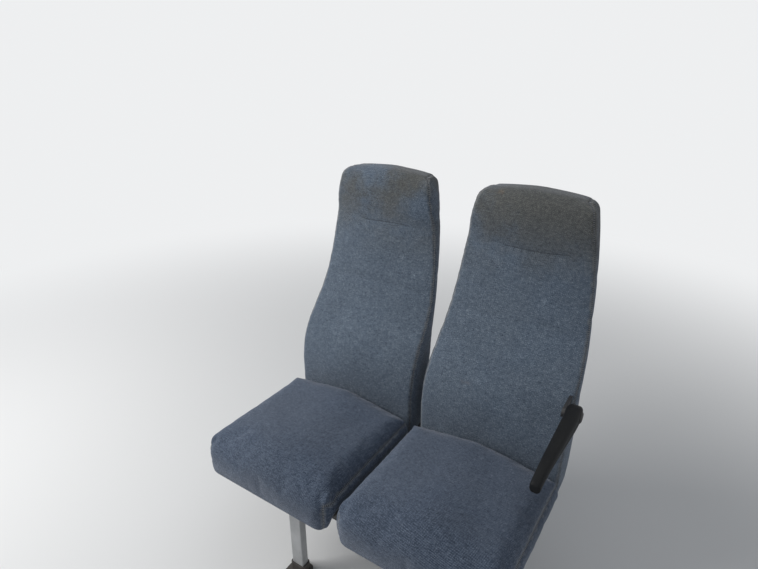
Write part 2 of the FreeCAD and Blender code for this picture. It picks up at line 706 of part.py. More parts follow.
def side_face_edges(shape):
    """Names of the edges round the faces that look along X."""
    found = []
    flanks = [face for face in shape.Faces if abs(face.normalAt(0, 0).x) > 0.9]
    for number, edge in enumerate(shape.Edges, start=1):
        if sum(edge.isSame(other) for face in flanks for other in face.Edges) == 1:
            found.append("Edge%d" % number)
    return found


def make_armrest():
    body = make_body("armrest")
    profile = make_sketch(body, "Profile", "YZ_Plane")
    add_armrest_profile(profile)
    pad(body, profile, size("armWidth"))
    bar = cut_armrest_taper(body)
    bevel = body.newObject("PartDesign::Chamfer", "Bevel")
    bevel.Base = (bar, side_face_edges(bar.Shape))
    bind(bevel, "Size", size("armEdge"))
    bore = make_sketch(body, "Bore", "YZ_Plane")
    add_circle(bore, ARM_PIVOT_Y, ARM_PIVOT_Z, "Sizes.pinDiameter + 2 * Sizes.pinGap")
    pocket(body, bore, size("armWidth"), reversed_way=True)
    bind(body, "Placement.Base.x", ARM_INNER_X)
    keep(body, "armrest")


def check_document():
    for thing in doc.Objects:
        if "Invalid" in thing.State or "Error" in thing.State:
            raise RuntimeError("%s failed: %s" % (thing.Label, thing.State))


def write_pieces():
    os.makedirs("parts", exist_ok=True)
    for piece in pieces:
        shape = piece.Shape
        if shape.isNull() or not shape.isValid() or not shape.Solids:
            raise RuntimeError("no sound solid in " + piece.Label)
        shape.exportStep(os.path.join("parts", piece.Label + ".step"))
        print(piece.Label, len(shape.Solids), round(shape.Volume / 1000), "cm3")


make_frame()
make_caps()
make_legs()
for place_name, place_middle in PLACES.items():
    make_base(place_name, place_middle)
    make_cushion(place_name, place_middle)
    make_hoop(place_name, place_middle)
    make_back(place_name, place_middle)
make_pivot()
make_armrest()
doc.recompute()
check_document()
write_pieces()
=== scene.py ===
# %% [markdown]
# # Dressing a double bus seat
#
# The steel frame, the boards and the plain foam blocks of this seat come from a CAD model.
# Here they get their tweed covers, seams, moulded armrest, bolts and paint. Everything is
# in metres. X runs towards the aisle, the sitter faces -Y, and Z is up from the floor.

import json
import math

import bpy
import numpy as np
from mathutils import Matrix, Vector


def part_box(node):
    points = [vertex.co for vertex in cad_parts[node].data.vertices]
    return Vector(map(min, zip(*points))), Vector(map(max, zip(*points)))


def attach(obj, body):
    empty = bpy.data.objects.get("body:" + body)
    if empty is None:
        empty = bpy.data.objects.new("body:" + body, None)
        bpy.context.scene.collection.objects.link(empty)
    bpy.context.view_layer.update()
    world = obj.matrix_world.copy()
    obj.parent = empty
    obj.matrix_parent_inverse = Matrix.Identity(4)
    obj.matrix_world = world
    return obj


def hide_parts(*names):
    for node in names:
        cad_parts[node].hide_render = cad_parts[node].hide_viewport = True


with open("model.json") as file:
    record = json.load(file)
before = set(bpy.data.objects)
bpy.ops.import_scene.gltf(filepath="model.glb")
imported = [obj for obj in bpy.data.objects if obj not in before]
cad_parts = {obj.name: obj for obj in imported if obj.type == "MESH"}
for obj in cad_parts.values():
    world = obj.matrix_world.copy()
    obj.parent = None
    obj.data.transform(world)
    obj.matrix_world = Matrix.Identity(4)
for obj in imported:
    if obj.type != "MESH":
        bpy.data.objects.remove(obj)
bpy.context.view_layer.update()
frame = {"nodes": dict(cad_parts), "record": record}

# %% [markdown]
# ## The camera
#
# The camera stands on the aisle side, a little ahead of the seat and above it, and looks
# back and down through a wide lens. Three plain rotations (turn, tilt, roll) are easier to
# read than three mixed angles.

# %% Camera
CAMERA_PLACE = (0.6314, -1.0391, 1.4680)
CAMERA_TURN = math.radians(33.05)
CAMERA_DOWN = math.radians(24.65)
CAMERA_ROLL = math.radians(0.2)
FOCAL_PIXELS = 552
IMAGE_WIDTH = 758

turn = Matrix.Rotation(CAMERA_TURN, 3, "Z")
tilt = Matrix.Rotation(math.pi / 2 - CAMERA_DOWN, 3, "X")
roll = Matrix.Rotation(CAMERA_ROLL, 3, "Z")
bpy.ops.object.camera_add(location=CAMERA_PLACE, rotation=(turn @ tilt @ roll).to_euler())
camera = bpy.context.object
camera.name = "photo_camera"
camera.data.sensor_width = 36
camera.data.lens = camera.data.sensor_width * FOCAL_PIXELS / IMAGE_WIDTH
camera.data.clip_end = 100
bpy.context.scene.camera = camera
bpy.context.scene.view_settings.view_transform = "Standard"
print("lens:", round(camera.data.lens, 1), "mm")

# %% [markdown]
# ## A small helper for materials
#
# Every finish below is a network of noise, ramps and bumps that ends in one Principled
# shader. The helper adds a node and joins what is handed to it, so that a network reads
# like a recipe. It serves the white air of the studio too.

# %% Node helper
class NodeNet:
    """Short ways to add nodes to the tree of a world or a material."""

    def __init__(self, owner):
        owner.use_nodes = True
        self.tree = owner.node_tree

    def add(self, kind, inputs=(), **settings):
        node = self.tree.nodes.new(kind)
        for name, setting in settings.items():
            setattr(node, name, setting)
        for key, source in dict(inputs).items():
            self.plug(node.inputs[key], source)
        return node

    def plug(self, socket, source):
        if isinstance(source, bpy.types.NodeSocket):
            self.tree.links.new(source, socket)
        else:
            socket.default_value = source

    def math(self, operation, first, second=0.0):
        return self.add("ShaderNodeMath", {0: first, 1: second}, operation=operation).outputs[0]

    def plus(self, first, second):
        return self.math("ADD", first, second)

    def minus(self, first, second):
        return self.math("SUBTRACT", first, second)

    def times(self, first, second):
        return self.math("MULTIPLY", first, second)

    def vector(self, operation, inputs):
        return self.add("ShaderNodeVectorMath", inputs, operation=operation).outputs[0]

    def z_part(self, vector):
        return self.add("ShaderNodeSeparateXYZ", {0: vector}).outputs["Z"]

    def mix(self, share, first, second, blend="MIX"):
        node = self.add("ShaderNodeMix", data_type="RGBA", blend_type=blend)
        for name, source in (("Factor_Float", share), ("A_Color", first), ("B_Color", second)):
            self.plug(next(s for s in node.inputs if s.identifier == name), source)
        return next(s for s in node.outputs if s.identifier == "Result_Color")

    def ramp(self, factor, stops):
        node = self.add("ShaderNodeValToRGB", {"Fac": factor})
        while len(node.color_ramp.elements) < len(stops):
            node.color_ramp.elements.new(0.5)
        for element, (position, colour) in zip(node.color_ramp.elements, stops):
            element.position = position
            element.color = (*colour, 1)
        return node.outputs["Color"]

    def noise(self, coordinates, scale, detail, roughness):
        inputs = {"Vector": coordinates, "Scale": scale, "Detail": detail, "Roughness": roughness}
        return self.add("ShaderNodeTexNoise", inputs).outputs["Fac"]

    def streaks(self, coordinates, stretch, detail, roughness):
        """Noise with a scale of its own along X, Y and Z, so that its spots become streaks."""
        stretched = self.vector("MULTIPLY", {0: coordinates, 1: stretch})
        return self.noise(stretched, 1.0, detail, roughness)

    def clouds(self, scale, dark, pale, pale_from=0.7, detail=5.0, roughness=0.6):
        """Slow noise, and a colour that follows it from dark to pale."""
        cloud = self.noise(self.place, scale, detail, roughness)
        return cloud, self.ramp(cloud, [(0.3, dark), (pale_from, pale)])

    def band(self, factor, low, high):
        """0 below low, 1 above high, smooth between."""
        inputs = {"Value": factor, "From Min": low, "From Max": high}
        node = self.add("ShaderNodeMapRange", inputs, interpolation_type="SMOOTHSTEP")
        return node.outputs["Result"]

    def fade(self, factor, low, high):
        """1 below low, 0 above high, smooth between."""
        return self.minus(1.0, self.band(factor, low, high))

    def attribute(self, name):
        return self.add("ShaderNodeAttribute", attribute_name=name).outputs["Fac"]

    def finish(self, colour, roughness, relief, strength, distance):
        """Plugs in the last values. A relief of 1 stands up by the distance, in metres."""
        inputs = {"Strength": strength, "Distance": distance, "Height": relief}
        bump = self.add("ShaderNodeBump", inputs).outputs[0]
        for name, source in (("Base Color", colour), ("Roughness", roughness), ("Normal", bump)):
            self.plug(self.shader.inputs[name], source)
        return self.material


class Finish(NodeNet):
    """A new material with one Principled shader."""

    def __init__(self, name, colour, roughness, metallic=0.0):
        self.material = bpy.data.materials.new(name)
        super().__init__(self.material)
        self.shader = self.tree.nodes["Principled BSDF"]
        self.shader.inputs["Base Color"].default_value = (*colour, 1)
        self.shader.inputs["Roughness"].default_value = roughness
        self.shader.inputs["Metallic"].default_value = metallic
        self.place = self.add("ShaderNodeTexCoord").outputs["Object"]


print("node helper ready")

# %% [markdown]
# ## Studio
#
# A pale floor catches the shadow, and large soft lamps stand for dim daylight: the main
# light comes from the window side and from above, with a weaker one from the aisle so
# that the near sides of the cushions don't go black. Far from the seat the floor fades
# into the white of the studio, but only for the camera, mirrors and glass.

# %% Floor, air and lamps
STUDIO_WHITE = (0.90, 0.91, 0.92, 1)
WHITE_STRENGTH = 0.95
FLOOR_FADE = (1.0, 3.4)
AIR_STRENGTH = 0.26


def seen_directly(net):
    """1 for rays that come from the camera, a mirror or glass, else 0."""
    paths = net.add("ShaderNodeLightPath").outputs
    bounced = net.math("MAXIMUM", paths["Is Glossy Ray"], paths["Is Transmission Ray"])
    return net.math("MAXIMUM", paths["Is Camera Ray"], bounced)


def blend_to_white(net, share, plain, kind, output):
    """Shows the plain shader where share is 0, and a white one of a kind where it is 1."""
    white = net.add(kind, {"Color": STUDIO_WHITE, "Strength": WHITE_STRENGTH})
    blend = net.add("ShaderNodeMixShader", {0: share, 1: plain.outputs[0], 2: white.outputs[0]})
    net.plug(net.tree.nodes[output].inputs["Surface"], blend.outputs[0])


floor_net = Finish("floor_pale", (0.76, 0.77, 0.78), 0.85)
away = floor_net.add("ShaderNodeVectorMath", {0: floor_net.place}, operation="LENGTH")
far = floor_net.band(away.outputs["Value"], *FLOOR_FADE)
blend_to_white(floor_net, floor_net.times(seen_directly(floor_net), far), floor_net.shader,
               "ShaderNodeEmission", "Material Output")
bpy.ops.mesh.primitive_plane_add(size=60, location=(0, 0, 0))
floor = bpy.context.object
floor.name = "studio_floor"
floor.data.materials.append(floor_net.material)

world = bpy.data.worlds.new("studio_air")
bpy.context.scene.world = world
air = NodeNet(world)
plain_air = air.tree.nodes["Background"]
plain_air.inputs["Color"].default_value = (0.93, 0.96, 1.0, 1)
plain_air.inputs["Strength"].default_value = AIR_STRENGTH
blend_to_white(air, seen_directly(air), plain_air, "ShaderNodeBackground", "World Output")


def add_lamp(name, place, target, size, power, colour):
    """A square soft lamp, with its size in metres and its power in watts."""
    bpy.ops.object.light_add(type="AREA", location=place)
    lamp = bpy.context.object
    lamp.name = name
    lamp.data.size, lamp.data.energy, lamp.data.color = size, power, colour
    aim = Vector(target) - Vector(place)
    lamp.rotation_euler = aim.to_track_quat("-Z", "Y").to_euler()


add_lamp("window_light", (-2.3, -1.3, 2.3), (0, 0.1, 0.7), 1.6, 82, (1.0, 0.985, 0.96))
add_lamp("roof_light", (0.3, 0.4, 3.0), (0, 0.1, 0.5), 2.0, 8, (0.96, 0.98, 1.0))
add_lamp("aisle_light", (2.6, -1.2, 1.5), (0, 0.1, 0.6), 1.8, 4, (0.97, 0.98, 1.0))

# %% [markdown]
# ## The seat cloth
#
# The cover is a coarse tweed: pale and dark yarns take turns, so it looks like a fine
# chessboard with squares of about 2 mm. Each square is a cell of a grid. Its colour comes
# from whether its column and row add up to an even number, with some chance on top, since
# no two stretches of yarn are dyed alike, and with slubs, which are streaks of thick yarn.
# The grid reads the piece's own UV map, in metres, so it follows the cover's curves.
#
# The same material knows how far a point is from the nearest seam and how far along it.
# That draws the seam's dark line, its stitches, its puckers and painted shade beside it.
# It knows in the same way where a back has its crease, and paints shade into the crease.

# %% Tweed
YARN_CELL = 0.0020
YARN_BEND = 0.0012
DARK_YARN, PALE_STEP = 0.26, 0.46
SLUB_STRETCHES = ((0.20, 0.95, 1.0), (0.95, 0.20, 1.0))
STITCH_PITCH = 0.0052
PUCKER_WAVES = 560.0
WEAVE_RELIEF, PUCKER_RELIEF, SEAM_RELIEF = 0.5, 0.16, 1.6
YARN_SHADES = [
    (0.00, (0.014, 0.018, 0.026)),
    (0.26, (0.042, 0.055, 0.076)),
    (0.50, (0.105, 0.132, 0.165)),
    (0.74, (0.265, 0.300, 0.335)),
    (1.00, (0.520, 0.540, 0.540)),
]
SOIL_AND_SHADE_FILTER = (0.90, 0.72, 0.50, 1)
SOIL_AND_SHADE = (0.082, 0.070, 0.056, 1)
STAIN = (0.185, 0.105, 0.045, 1)
GAP_SHADE = (0.020, 0.025, 0.034, 1)
LINT = (0.46, 0.47, 0.47, 1)
WORN_YARN = (0.27, 0.28, 0.29, 1)
THREAD = (0.38, 0.39, 0.40, 1)


def woven_yarn(net, uv):
    """The colour of the weave, its hills for the bump, and its fuzz."""
    bend = net.add("ShaderNodeTexNoise", {"Vector": net.place, "Scale": 30.0}).outputs["Color"]
    bend = net.vector("SCALE", {0: bend, "Scale": YARN_BEND})
    bent = net.vector("ADD", {0: uv, 1: bend})
    grid = net.vector("SCALE", {0: bent, "Scale": 1 / YARN_CELL})
    split = net.add("ShaderNodeSeparateXYZ", {0: grid})
    cells, hills = [], []
    for axis in ("X", "Y"):
        cells.append(net.math("FLOOR", split.outputs[axis]))
        wave = net.math("SINE", net.times(split.outputs[axis], math.pi))
        hills.append(net.math("ABSOLUTE", wave))
    hill = net.math("POWER", net.times(*hills), 0.55)
    pale = net.math("FLOORED_MODULO", net.plus(*cells), 2.0)
    cell = net.add("ShaderNodeCombineXYZ", {"X": cells[0], "Y": cells[1]}).outputs[0]
    chance = net.add("ShaderNodeTexWhiteNoise", {"Vector": cell}, noise_dimensions="2D")
    slubs = [net.streaks(grid, stretch, 1.0, 0.5) for stretch in SLUB_STRETCHES]
    fuzz = net.noise(grid, 1.7, 3.0, 0.8)
    patch = net.noise(net.place, 8.0, 4.0, 0.55)
    value = net.plus(DARK_YARN, net.times(pale, PALE_STEP))
    for part, weight in ((chance.outputs["Value"], 0.12), (slubs[0], 0.52), (slubs[1], 0.36),
                         (fuzz, 0.20), (patch, 0.16)):
        value = net.plus(value, net.times(net.minus(part, 0.5), weight))
    # Painted shade: in the hollows between the yarns' hills the colour turns to GAP_SHADE.
    woven = net.mix(net.band(hill, 0.0, 0.42), GAP_SHADE, net.ramp(value, YARN_SHADES))
    lint = net.band(net.noise(grid, 0.55, 2.0, 0.8), 0.735, 0.77)
    return net.mix(net.times(lint, 0.45), woven, LINT), hill, fuzz


def soil_and_seam_shade(net, clean, near, soil_from, soil_to):
    """Grime that grows with height, painted shade along the seams, and a few old stains."""
    high = net.band(net.z_part(net.place), soil_from, soil_to)
    cloud = net.band(net.noise(net.place, 6.0, 5.0, 0.62), 0.30, 0.58)
    grime_and_shade = net.times(net.plus(net.times(high, 0.80), 0.08), cloud)
    # Painted shade: within about a centimetre of a seam the cloth is darkened in the grime's
    # colour.
    grime_and_shade = net.plus(grime_and_shade, net.times(net.fade(near, 0.001, 0.011), 0.16))
    stale_and_shaded = net.mix(0.28, net.mix(1.0, clean, SOIL_AND_SHADE_FILTER, "MULTIPLY"), SOIL_AND_SHADE)
    soiled_and_shaded = net.mix(grime_and_shade, clean, stale_and_shaded)
    drop = net.band(net.noise(net.place, 11.0, 3.0, 0.5), 0.735, 0.80)
    return net.mix(net.times(drop, 0.38), soiled_and_shaded, STAIN)


def stitched(net, cloth, near, run):
    """Cloth worn pale beside a seam, and the seam's dark line with a row of stitches in it."""
    patches = net.band(net.noise(net.place, 55.0, 3.0, 0.6), 0.42, 0.62)
    beside = net.minus(net.band(near, 0.0015, 0.0035), net.band(near, 0.004, 0.010))
    worn = net.mix(net.times(net.times(beside, patches), 0.42), cloth, WORN_YARN)
    beat = net.math("FRACT", net.math("DIVIDE", run, STITCH_PITCH))
    stitch = net.times(net.band(beat, 0.22, 0.30), net.fade(beat, 0.78, 0.86))
    line_shade = net.mix(net.times(stitch, 0.55), GAP_SHADE, THREAD)
    return net.mix(net.fade(near, 0.0012, 0.0026), worn, line_shade)


def make_cloth(name, soil_from, soil_to, colour_and_shade):
    """Tweed cover. Soil grows with height between soil_from and soil_to, in metres."""
    net = Finish(name, (0.14, 0.17, 0.2), 0.92)
    uv = net.add("ShaderNodeUVMap", uv_map="cloth").outputs["UV"]
    near, run = net.attribute("seam_gap"), net.attribute("seam_run")
    woven, hill, fuzz = woven_yarn(net, uv)
    # The colour multiplies the weave. For the seats it also holds painted shade: their tweed is
    # set darker than the backs', though it is the same cloth.
    coloured_and_shaded = net.mix(1.0, woven, (*colour_and_shade, 1), "MULTIPLY")
    soiled_and_shaded = soil_and_seam_shade(net, coloured_and_shaded, near, soil_from, soil_to)
    # Painted shade: a thin dark line in GAP_SHADE runs along the crease of a back.
    fold_gap = net.plus(net.math("ABSOLUTE", net.attribute("fold_side")),
                        net.attribute("fold_end"))
    fold = net.times(net.fade(fold_gap, 0.0004, 0.0026), 0.55)
    seamed = stitched(net, net.mix(fold, soiled_and_shaded, GAP_SHADE), near, run)
    pucker = net.times(net.math("SINE", net.times(run, PUCKER_WAVES)),
                       net.fade(near, 0.001, 0.009))
    pucker = net.times(pucker, net.noise(net.place, 38.0, 2.0, 0.5))
    weave = net.plus(hill, net.times(fuzz, 0.6))
    relief = net.plus(net.times(weave, WEAVE_RELIEF), net.times(pucker, PUCKER_RELIEF))
    relief = net.minus(relief, net.times(net.fade(near, 0.0, 0.0045), SEAM_RELIEF))
    rough = net.plus(0.82, net.times(fuzz, 0.16))
    for key, setting in (("Specular IOR Level", 0.2), ("Sheen Weight", 0.25),
                         ("Sheen Roughness", 0.5), ("Sheen Tint", (0.85, 0.9, 1.0, 1))):
        net.shader.inputs[key].default_value = setting
    return net.finish(seamed, rough, relief, 0.6, 0.0009)


BACK_CLOTH = make_cloth("tweed_back", 0.82, 1.09, (0.73, 0.83, 0.96))
# Painted shade: the seats' tweed is the backs' cloth, set darker.
SHADED_SEAT_CLOTH = make_cloth("tweed_seat_shaded", 0.60, 0.90, (0.50, 0.58, 0.74))
print("cloths:", BACK_CLOTH.name, SHADED_SEAT_CLOTH.name)

# %% [markdown]
# ## Blocks of foam
#
# Both the backs and the cushions start as a cube. In edit mode its edges are cut into even
# steps, one direction at a time. That gives a fine grid that can be pressed into shape and
# can still be followed: every point keeps its column, its depth step and its row. The seams
# find their way by these numbers, and the weave is laid flat on each side with them.

# %% A sliced block
def deselect_all():
    if bpy.context.object and bpy.context.object.mode != "OBJECT":
        bpy.ops.object.mode_set(mode="OBJECT")
    bpy.ops.object.select_all(action="DESELECT")


def work_on(piece):
    """Makes a piece the only selected one, ready for the next tool."""
    deselect_all()
    piece.select_set(True)
    bpy.context.view_layer.objects.active = piece


def read_places(piece):
    places = np.empty(len(piece.data.vertices) * 3)
    piece.data.vertices.foreach_get("co", places)
    return places.reshape(-1, 3)


def write_places(piece, places):
    piece.data.vertices.foreach_set("co", np.ascontiguousarray(places).ravel())
    piece.data.update()


def add_piece(name, data):
    """A new piece at the origin, from a mesh or a curve."""
    piece = bpy.data.objects.new(name, data)
    bpy.context.collection.objects.link(piece)
    return piece


def select_edges_along(block, axis):
    """Selects the edges of a block that run along one axis."""
    mesh, places = block.data, read_places(block)
    for part in (*mesh.vertices, *mesh.polygons):
        part.select = False
    for edge in mesh.edges:
        start, end = edge.vertices
        edge.select = bool(abs(places[start, axis] - places[end, axis]) > 1e-6)


def sliced_block(name, steps):
    """A cube from -1 to 1, cut into steps along X, Y and Z."""
    deselect_all()
    bpy.ops.mesh.primitive_cube_add(size=2, location=(0, 0, 0))
    block = bpy.context.object
    block.name = name
    bpy.context.tool_settings.mesh_select_mode = (False, True, False)
    for axis, count in enumerate(steps):
        select_edges_along(block, axis)
        bpy.ops.object.mode_set(mode="EDIT")
        bpy.ops.mesh.subdivide(number_cuts=count - 1)
        bpy.ops.object.mode_set(mode="OBJECT")
    return block


def block_numbers(block, steps):
    """A table that gives the vertex at a column, a depth step and a row."""
    numbers = np.full([count + 1 for count in steps], -1)
    spots = np.rint((read_places(block) + 1) / 2 * np.array(steps)).astype(int)
    numbers[spots[:, 0], spots[:, 1], spots[:, 2]] = np.arange(len(spots))
    return numbers


print("block maker ready")

# %% Smooth curves and rounded corners
def smooth_curve(points):
    """A function that runs smoothly through (position, value) points, given in millimetres."""
    xs, ys = np.array(sorted(points), float).T / 1000
    slopes = np.gradient(ys, xs)

    def curve(x):
        x = np.clip(x, xs[0], xs[-1])
        i = np.clip(np.searchsorted(xs, x) - 1, 0, len(xs) - 2)
        gap = xs[i + 1] - xs[i]
        t = (x - xs[i]) / gap
        rise = (2 * t ** 3 - 3 * t ** 2 + 1) * ys[i] + (3 * t ** 2 - 2 * t ** 3) * ys[i + 1]
        lean = (t ** 3 - 2 * t ** 2 + t) * slopes[i] + (t ** 3 - t ** 2) * slopes[i + 1]
        return rise + lean * gap

    return curve


def press_corner(a, b, out_a, out_b, sign_a, sign_b):
    """Rounds a corner of two directions: out_a and out_b say how far into it a point is."""
    corner = (out_a > 0) & (out_b > 0)
    share = np.maximum(out_a, out_b) / np.maximum(np.hypot(out_a, out_b), 1e-9)
    new_a = a - sign_a * out_a * (1 - share)
    new_b = b - sign_b * out_b * (1 - share)
    return np.where(corner, new_a, a), np.where(corner, new_b, b)


def press_plan(x, y, half, front, rear, front_radius, rear_radius):
    """Rounds the four corners of an outline seen from above."""
    ahead = y < (front + rear) / 2
    radius = np.where(ahead, front_radius, rear_radius)
    out_x = np.abs(x) - (half - radius)
    out_y = np.where(ahead, (front + radius) - y, y - (rear - radius))
    return press_corner(x, y, out_x, out_y, np.sign(x), np.where(ahead, -1, 1))


print("curve check:", float(smooth_curve([(0, 0), (1000, 1000)])(0.5)))

# %% [markdown]
# ## The shape of a back
#
# Seen from the front a back tapers towards the head, with round top corners and a slightly
# arched top. Seen from the side it swells for the loins, draws in at the shoulders, and
# swells again for the head. The lists hold, for some drops below the top, how far the front
# and rear lie from the leaning middle line, half the width, and how much narrower the rear
# is, all in millimetres. A crown across the front makes the panel look stuffed.

# %% Pressing a block into a back
BACK_STEPS = (44, 18, 84)
BACK_FOOT, BACK_TOP = (corner.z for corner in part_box("back_pad_aisle"))
LEAN_TOP_Y = 0.300
LEAN = math.tan(math.radians(10.76))
CORNER_ROWS = 7
FOOT_ROWS = 2
CORNER_SWEEP = math.radians(80)
TOP_CORNER = 0.022
TOP_ARCH = 0.009
FRONT_DRAWN_IN, REAR_DRAWN_IN, FOOT_DRAWN_IN = 0.022, 0.020, 0.008
FRONT_EDGE, REAR_EDGE, FOOT_ROUND = 0.006, 0.030, 0.010
CROWN, LOIN_CROWN, REAR_CROWN = 0.008, 0.006, 0.006

back_front = smooth_curve([
    (0, -4), (29, -9), (91, -3), (139, 13), (202, 20), (294, 22), (348, 15), (398, -2),
    (444, -27), (488, -52), (537, -68), (598, -70), (673, -56), (760, -38),
])
back_rear = smooth_curve([
    (0, 76), (73, 83), (142, 88), (212, 89), (281, 87), (400, 85), (560, 83), (760, 77),
])
back_half = smooth_curve([
    (0, 147), (23, 151), (67, 160), (149, 173), (249, 186), (306, 192), (383, 200),
    (497, 206), (640, 208), (760, 207),
])
back_inset = smooth_curve([
    (0, 2), (100, 3), (200, 7), (300, 11), (400, 13), (480, 12), (560, 8), (640, 4), (760, 2),
])


def middle_line(height):
    """Y of a back's leaning middle line at a height."""
    return LEAN_TOP_Y - LEAN * (BACK_TOP - height)


def back_rows(share):
    """Height of a row, and how far round the top or foot corner it is."""
    rows = BACK_STEPS[2]
    row = share * rows
    top_start = BACK_TOP - TOP_ARCH - TOP_CORNER * math.sin(CORNER_SWEEP)
    foot_end = BACK_FOOT + FOOT_ROUND * math.sin(CORNER_SWEEP)
    straight = np.clip((row - FOOT_ROWS) / (rows - CORNER_ROWS - FOOT_ROWS), 0, 1)
    top_turn = np.clip((row - (rows - CORNER_ROWS)) / CORNER_ROWS, 0, 1) * CORNER_SWEEP
    foot_turn = np.clip((FOOT_ROWS - row) / FOOT_ROWS, 0, 1) * CORNER_SWEEP
    height = foot_end + (top_start - foot_end) * straight
    height += TOP_CORNER * np.sin(top_turn) - FOOT_ROUND * np.sin(foot_turn)
    return height, top_turn, foot_turn


def shape_back(unit):
    """Where the points of the unit block go in a back, with the place's middle at X = 0."""
    across, depth, share = unit[:, 0], (unit[:, 1] + 1) / 2, (unit[:, 2] + 1) / 2
    height, top_turn, foot_turn = back_rows(share)
    drop = BACK_TOP - height
    top_inset = 1 - np.cos(top_turn)
    foot_inset = 1 - np.cos(foot_turn)
    half = back_half(drop) - back_inset(drop) * depth
    half -= TOP_CORNER * top_inset + FOOT_ROUND * foot_inset
    crown = CROWN + LOIN_CROWN * np.clip((drop - 0.3) / 0.3, 0, 1)
    front = back_front(drop) + crown + FRONT_DRAWN_IN * top_inset + FOOT_DRAWN_IN * foot_inset
    rear = back_rear(drop) - REAR_DRAWN_IN * top_inset - FOOT_DRAWN_IN * foot_inset
    x = across * half
    y = front + depth * (rear - front)
    rear_radius = np.minimum(REAR_EDGE, 0.42 * (rear - front))
    x, y = press_plan(x, y, half, front, rear, FRONT_EDGE, rear_radius)
    across = x / half
    y -= crown * (1 - across ** 2) * np.clip(1 - 1.6 * depth, 0, 1)
    y += REAR_CROWN * (1 - across ** 2) * np.clip(2 * depth - 1, 0, 1)
    z = height + TOP_ARCH * (1 - across ** 2) * np.sin(top_turn)
    return np.stack([x, y + middle_line(z), z], axis=1)


def back_seams(numbers):
    """Vertex numbers along both side seams, from the front foot over the top to the rear foot."""
    return [[*numbers[column, 0, :], *numbers[column, 1:-1, -1], *numbers[column, -1, ::-1]]
            for column in (0, -1)]


back_block = sliced_block("back_block", BACK_STEPS)
back_numbers = block_numbers(back_block, BACK_STEPS)
back_unit = read_places(back_block)
print("points in a back:", len(back_unit))

# %% [markdown]
# ## Laying the weave
#
# Cloth is cut flat and then sewn round the foam, so the weave map measures along the
# surface. The main panel runs up the front, over the top and down the rear in one length.
# The sides of a back are strips of their own. On a cushion the top panel rolls down over
# the sides as well.

# %% Weave map
def walked(points, axis):
    """Distance walked along a line of points, or along one direction of a grid of them."""
    legs = np.linalg.norm(np.diff(points, axis=axis), axis=-1)
    start = np.zeros_like(np.take(legs, [0], axis=axis))
    return np.cumsum(np.concatenate([start, legs], axis=axis), axis=axis)


def cloth_distances(places, numbers, sides_join_top):
    """For each side of the block, two grids: distance across the cloth and along it."""
    def across(sheet):
        run = walked(places[sheet], 0)
        return run - run[len(run) // 2]

    def along(sheet):
        return walked(places[sheet], 1)

    front, rear, top = numbers[:, 0, :], numbers[:, -1, :], numbers[:, :, -1]
    top_along = along(front)[:, -1:] + along(top)
    rear_along = along(rear)
    sheets = {
        (1, 0): (across(front), along(front)),
        (2, -1): (across(top), top_along),
        (1, -1): (across(rear), top_along[:, -1:] + rear_along[:, -1:] - rear_along),
        (2, 0): (across(numbers[:, :, 0]), -along(numbers[:, :, 0])),
    }
    for column, sign in ((0, -1), (-1, 1)):
        side = numbers[column]
        up = along(side)
        if sides_join_top:
            edge = across(top)[column][:, None]
            strip = (edge + sign * (up[:, -1:] - up), top_along[column][:, None] + 0 * up)
        else:
            strip = (walked(places[side], 0) + sign * 0.5, up)
        sheets[(0, column)] = strip
    return sheets


def lay_weave(piece, numbers, offset, sides_join_top):
    """Writes a UV map, in metres along the cloth, for each side of the block."""
    mesh = piece.data
    spots = np.empty((len(mesh.vertices), 3), int)
    spots[numbers[numbers >= 0]] = np.argwhere(numbers >= 0)
    loop_vertices = np.empty(len(mesh.loops), np.int32)
    mesh.loops.foreach_get("vertex_index", loop_vertices)
    corners = spots[loop_vertices]
    faces = np.repeat(np.arange(len(mesh.polygons)), 4)
    uv = np.zeros((len(mesh.loops), 2))
    last = np.array(numbers.shape) - 1
    sheets = cloth_distances(read_places(piece), numbers, sides_join_top)
    for (axis, end), (first, second) in sheets.items():
        level = last[axis] if end else 0
        on_side = np.bincount(faces, corners[:, axis] == level) == 4
        loops = np.nonzero(on_side[faces])[0]
        others = [other for other in range(3) if other != axis]
        a, b = corners[loops][:, others[0]], corners[loops][:, others[1]]
        uv[loops, 0] = first[a, b] + offset
        uv[loops, 1] = second[a, b] + 2 * offset
    layer = mesh.uv_layers.get("cloth") or mesh.uv_layers.new(name="cloth")
    layer.data.foreach_set("uv", uv.ravel())


print("weave map ready")

# %% [markdown]
# ## Stuffing
#
# The covers are held down at the seams and puff up between them. Blender's cloth does that:
# the seam points are pinned, the pressure inside pushes out, and the cloth may grow by a
# little. How far any point may move is capped, and one subdivision smooths the result.

# %% Cloth simulation
SIMULATED_FRAMES = 20
COVER_CLOTH = {
    "quality": 5, "mass": 0.25, "tension_stiffness": 12, "compression_stiffness": 12,
    "shear_stiffness": 6, "bending_stiffness": 0.8, "use_pressure": True,
}


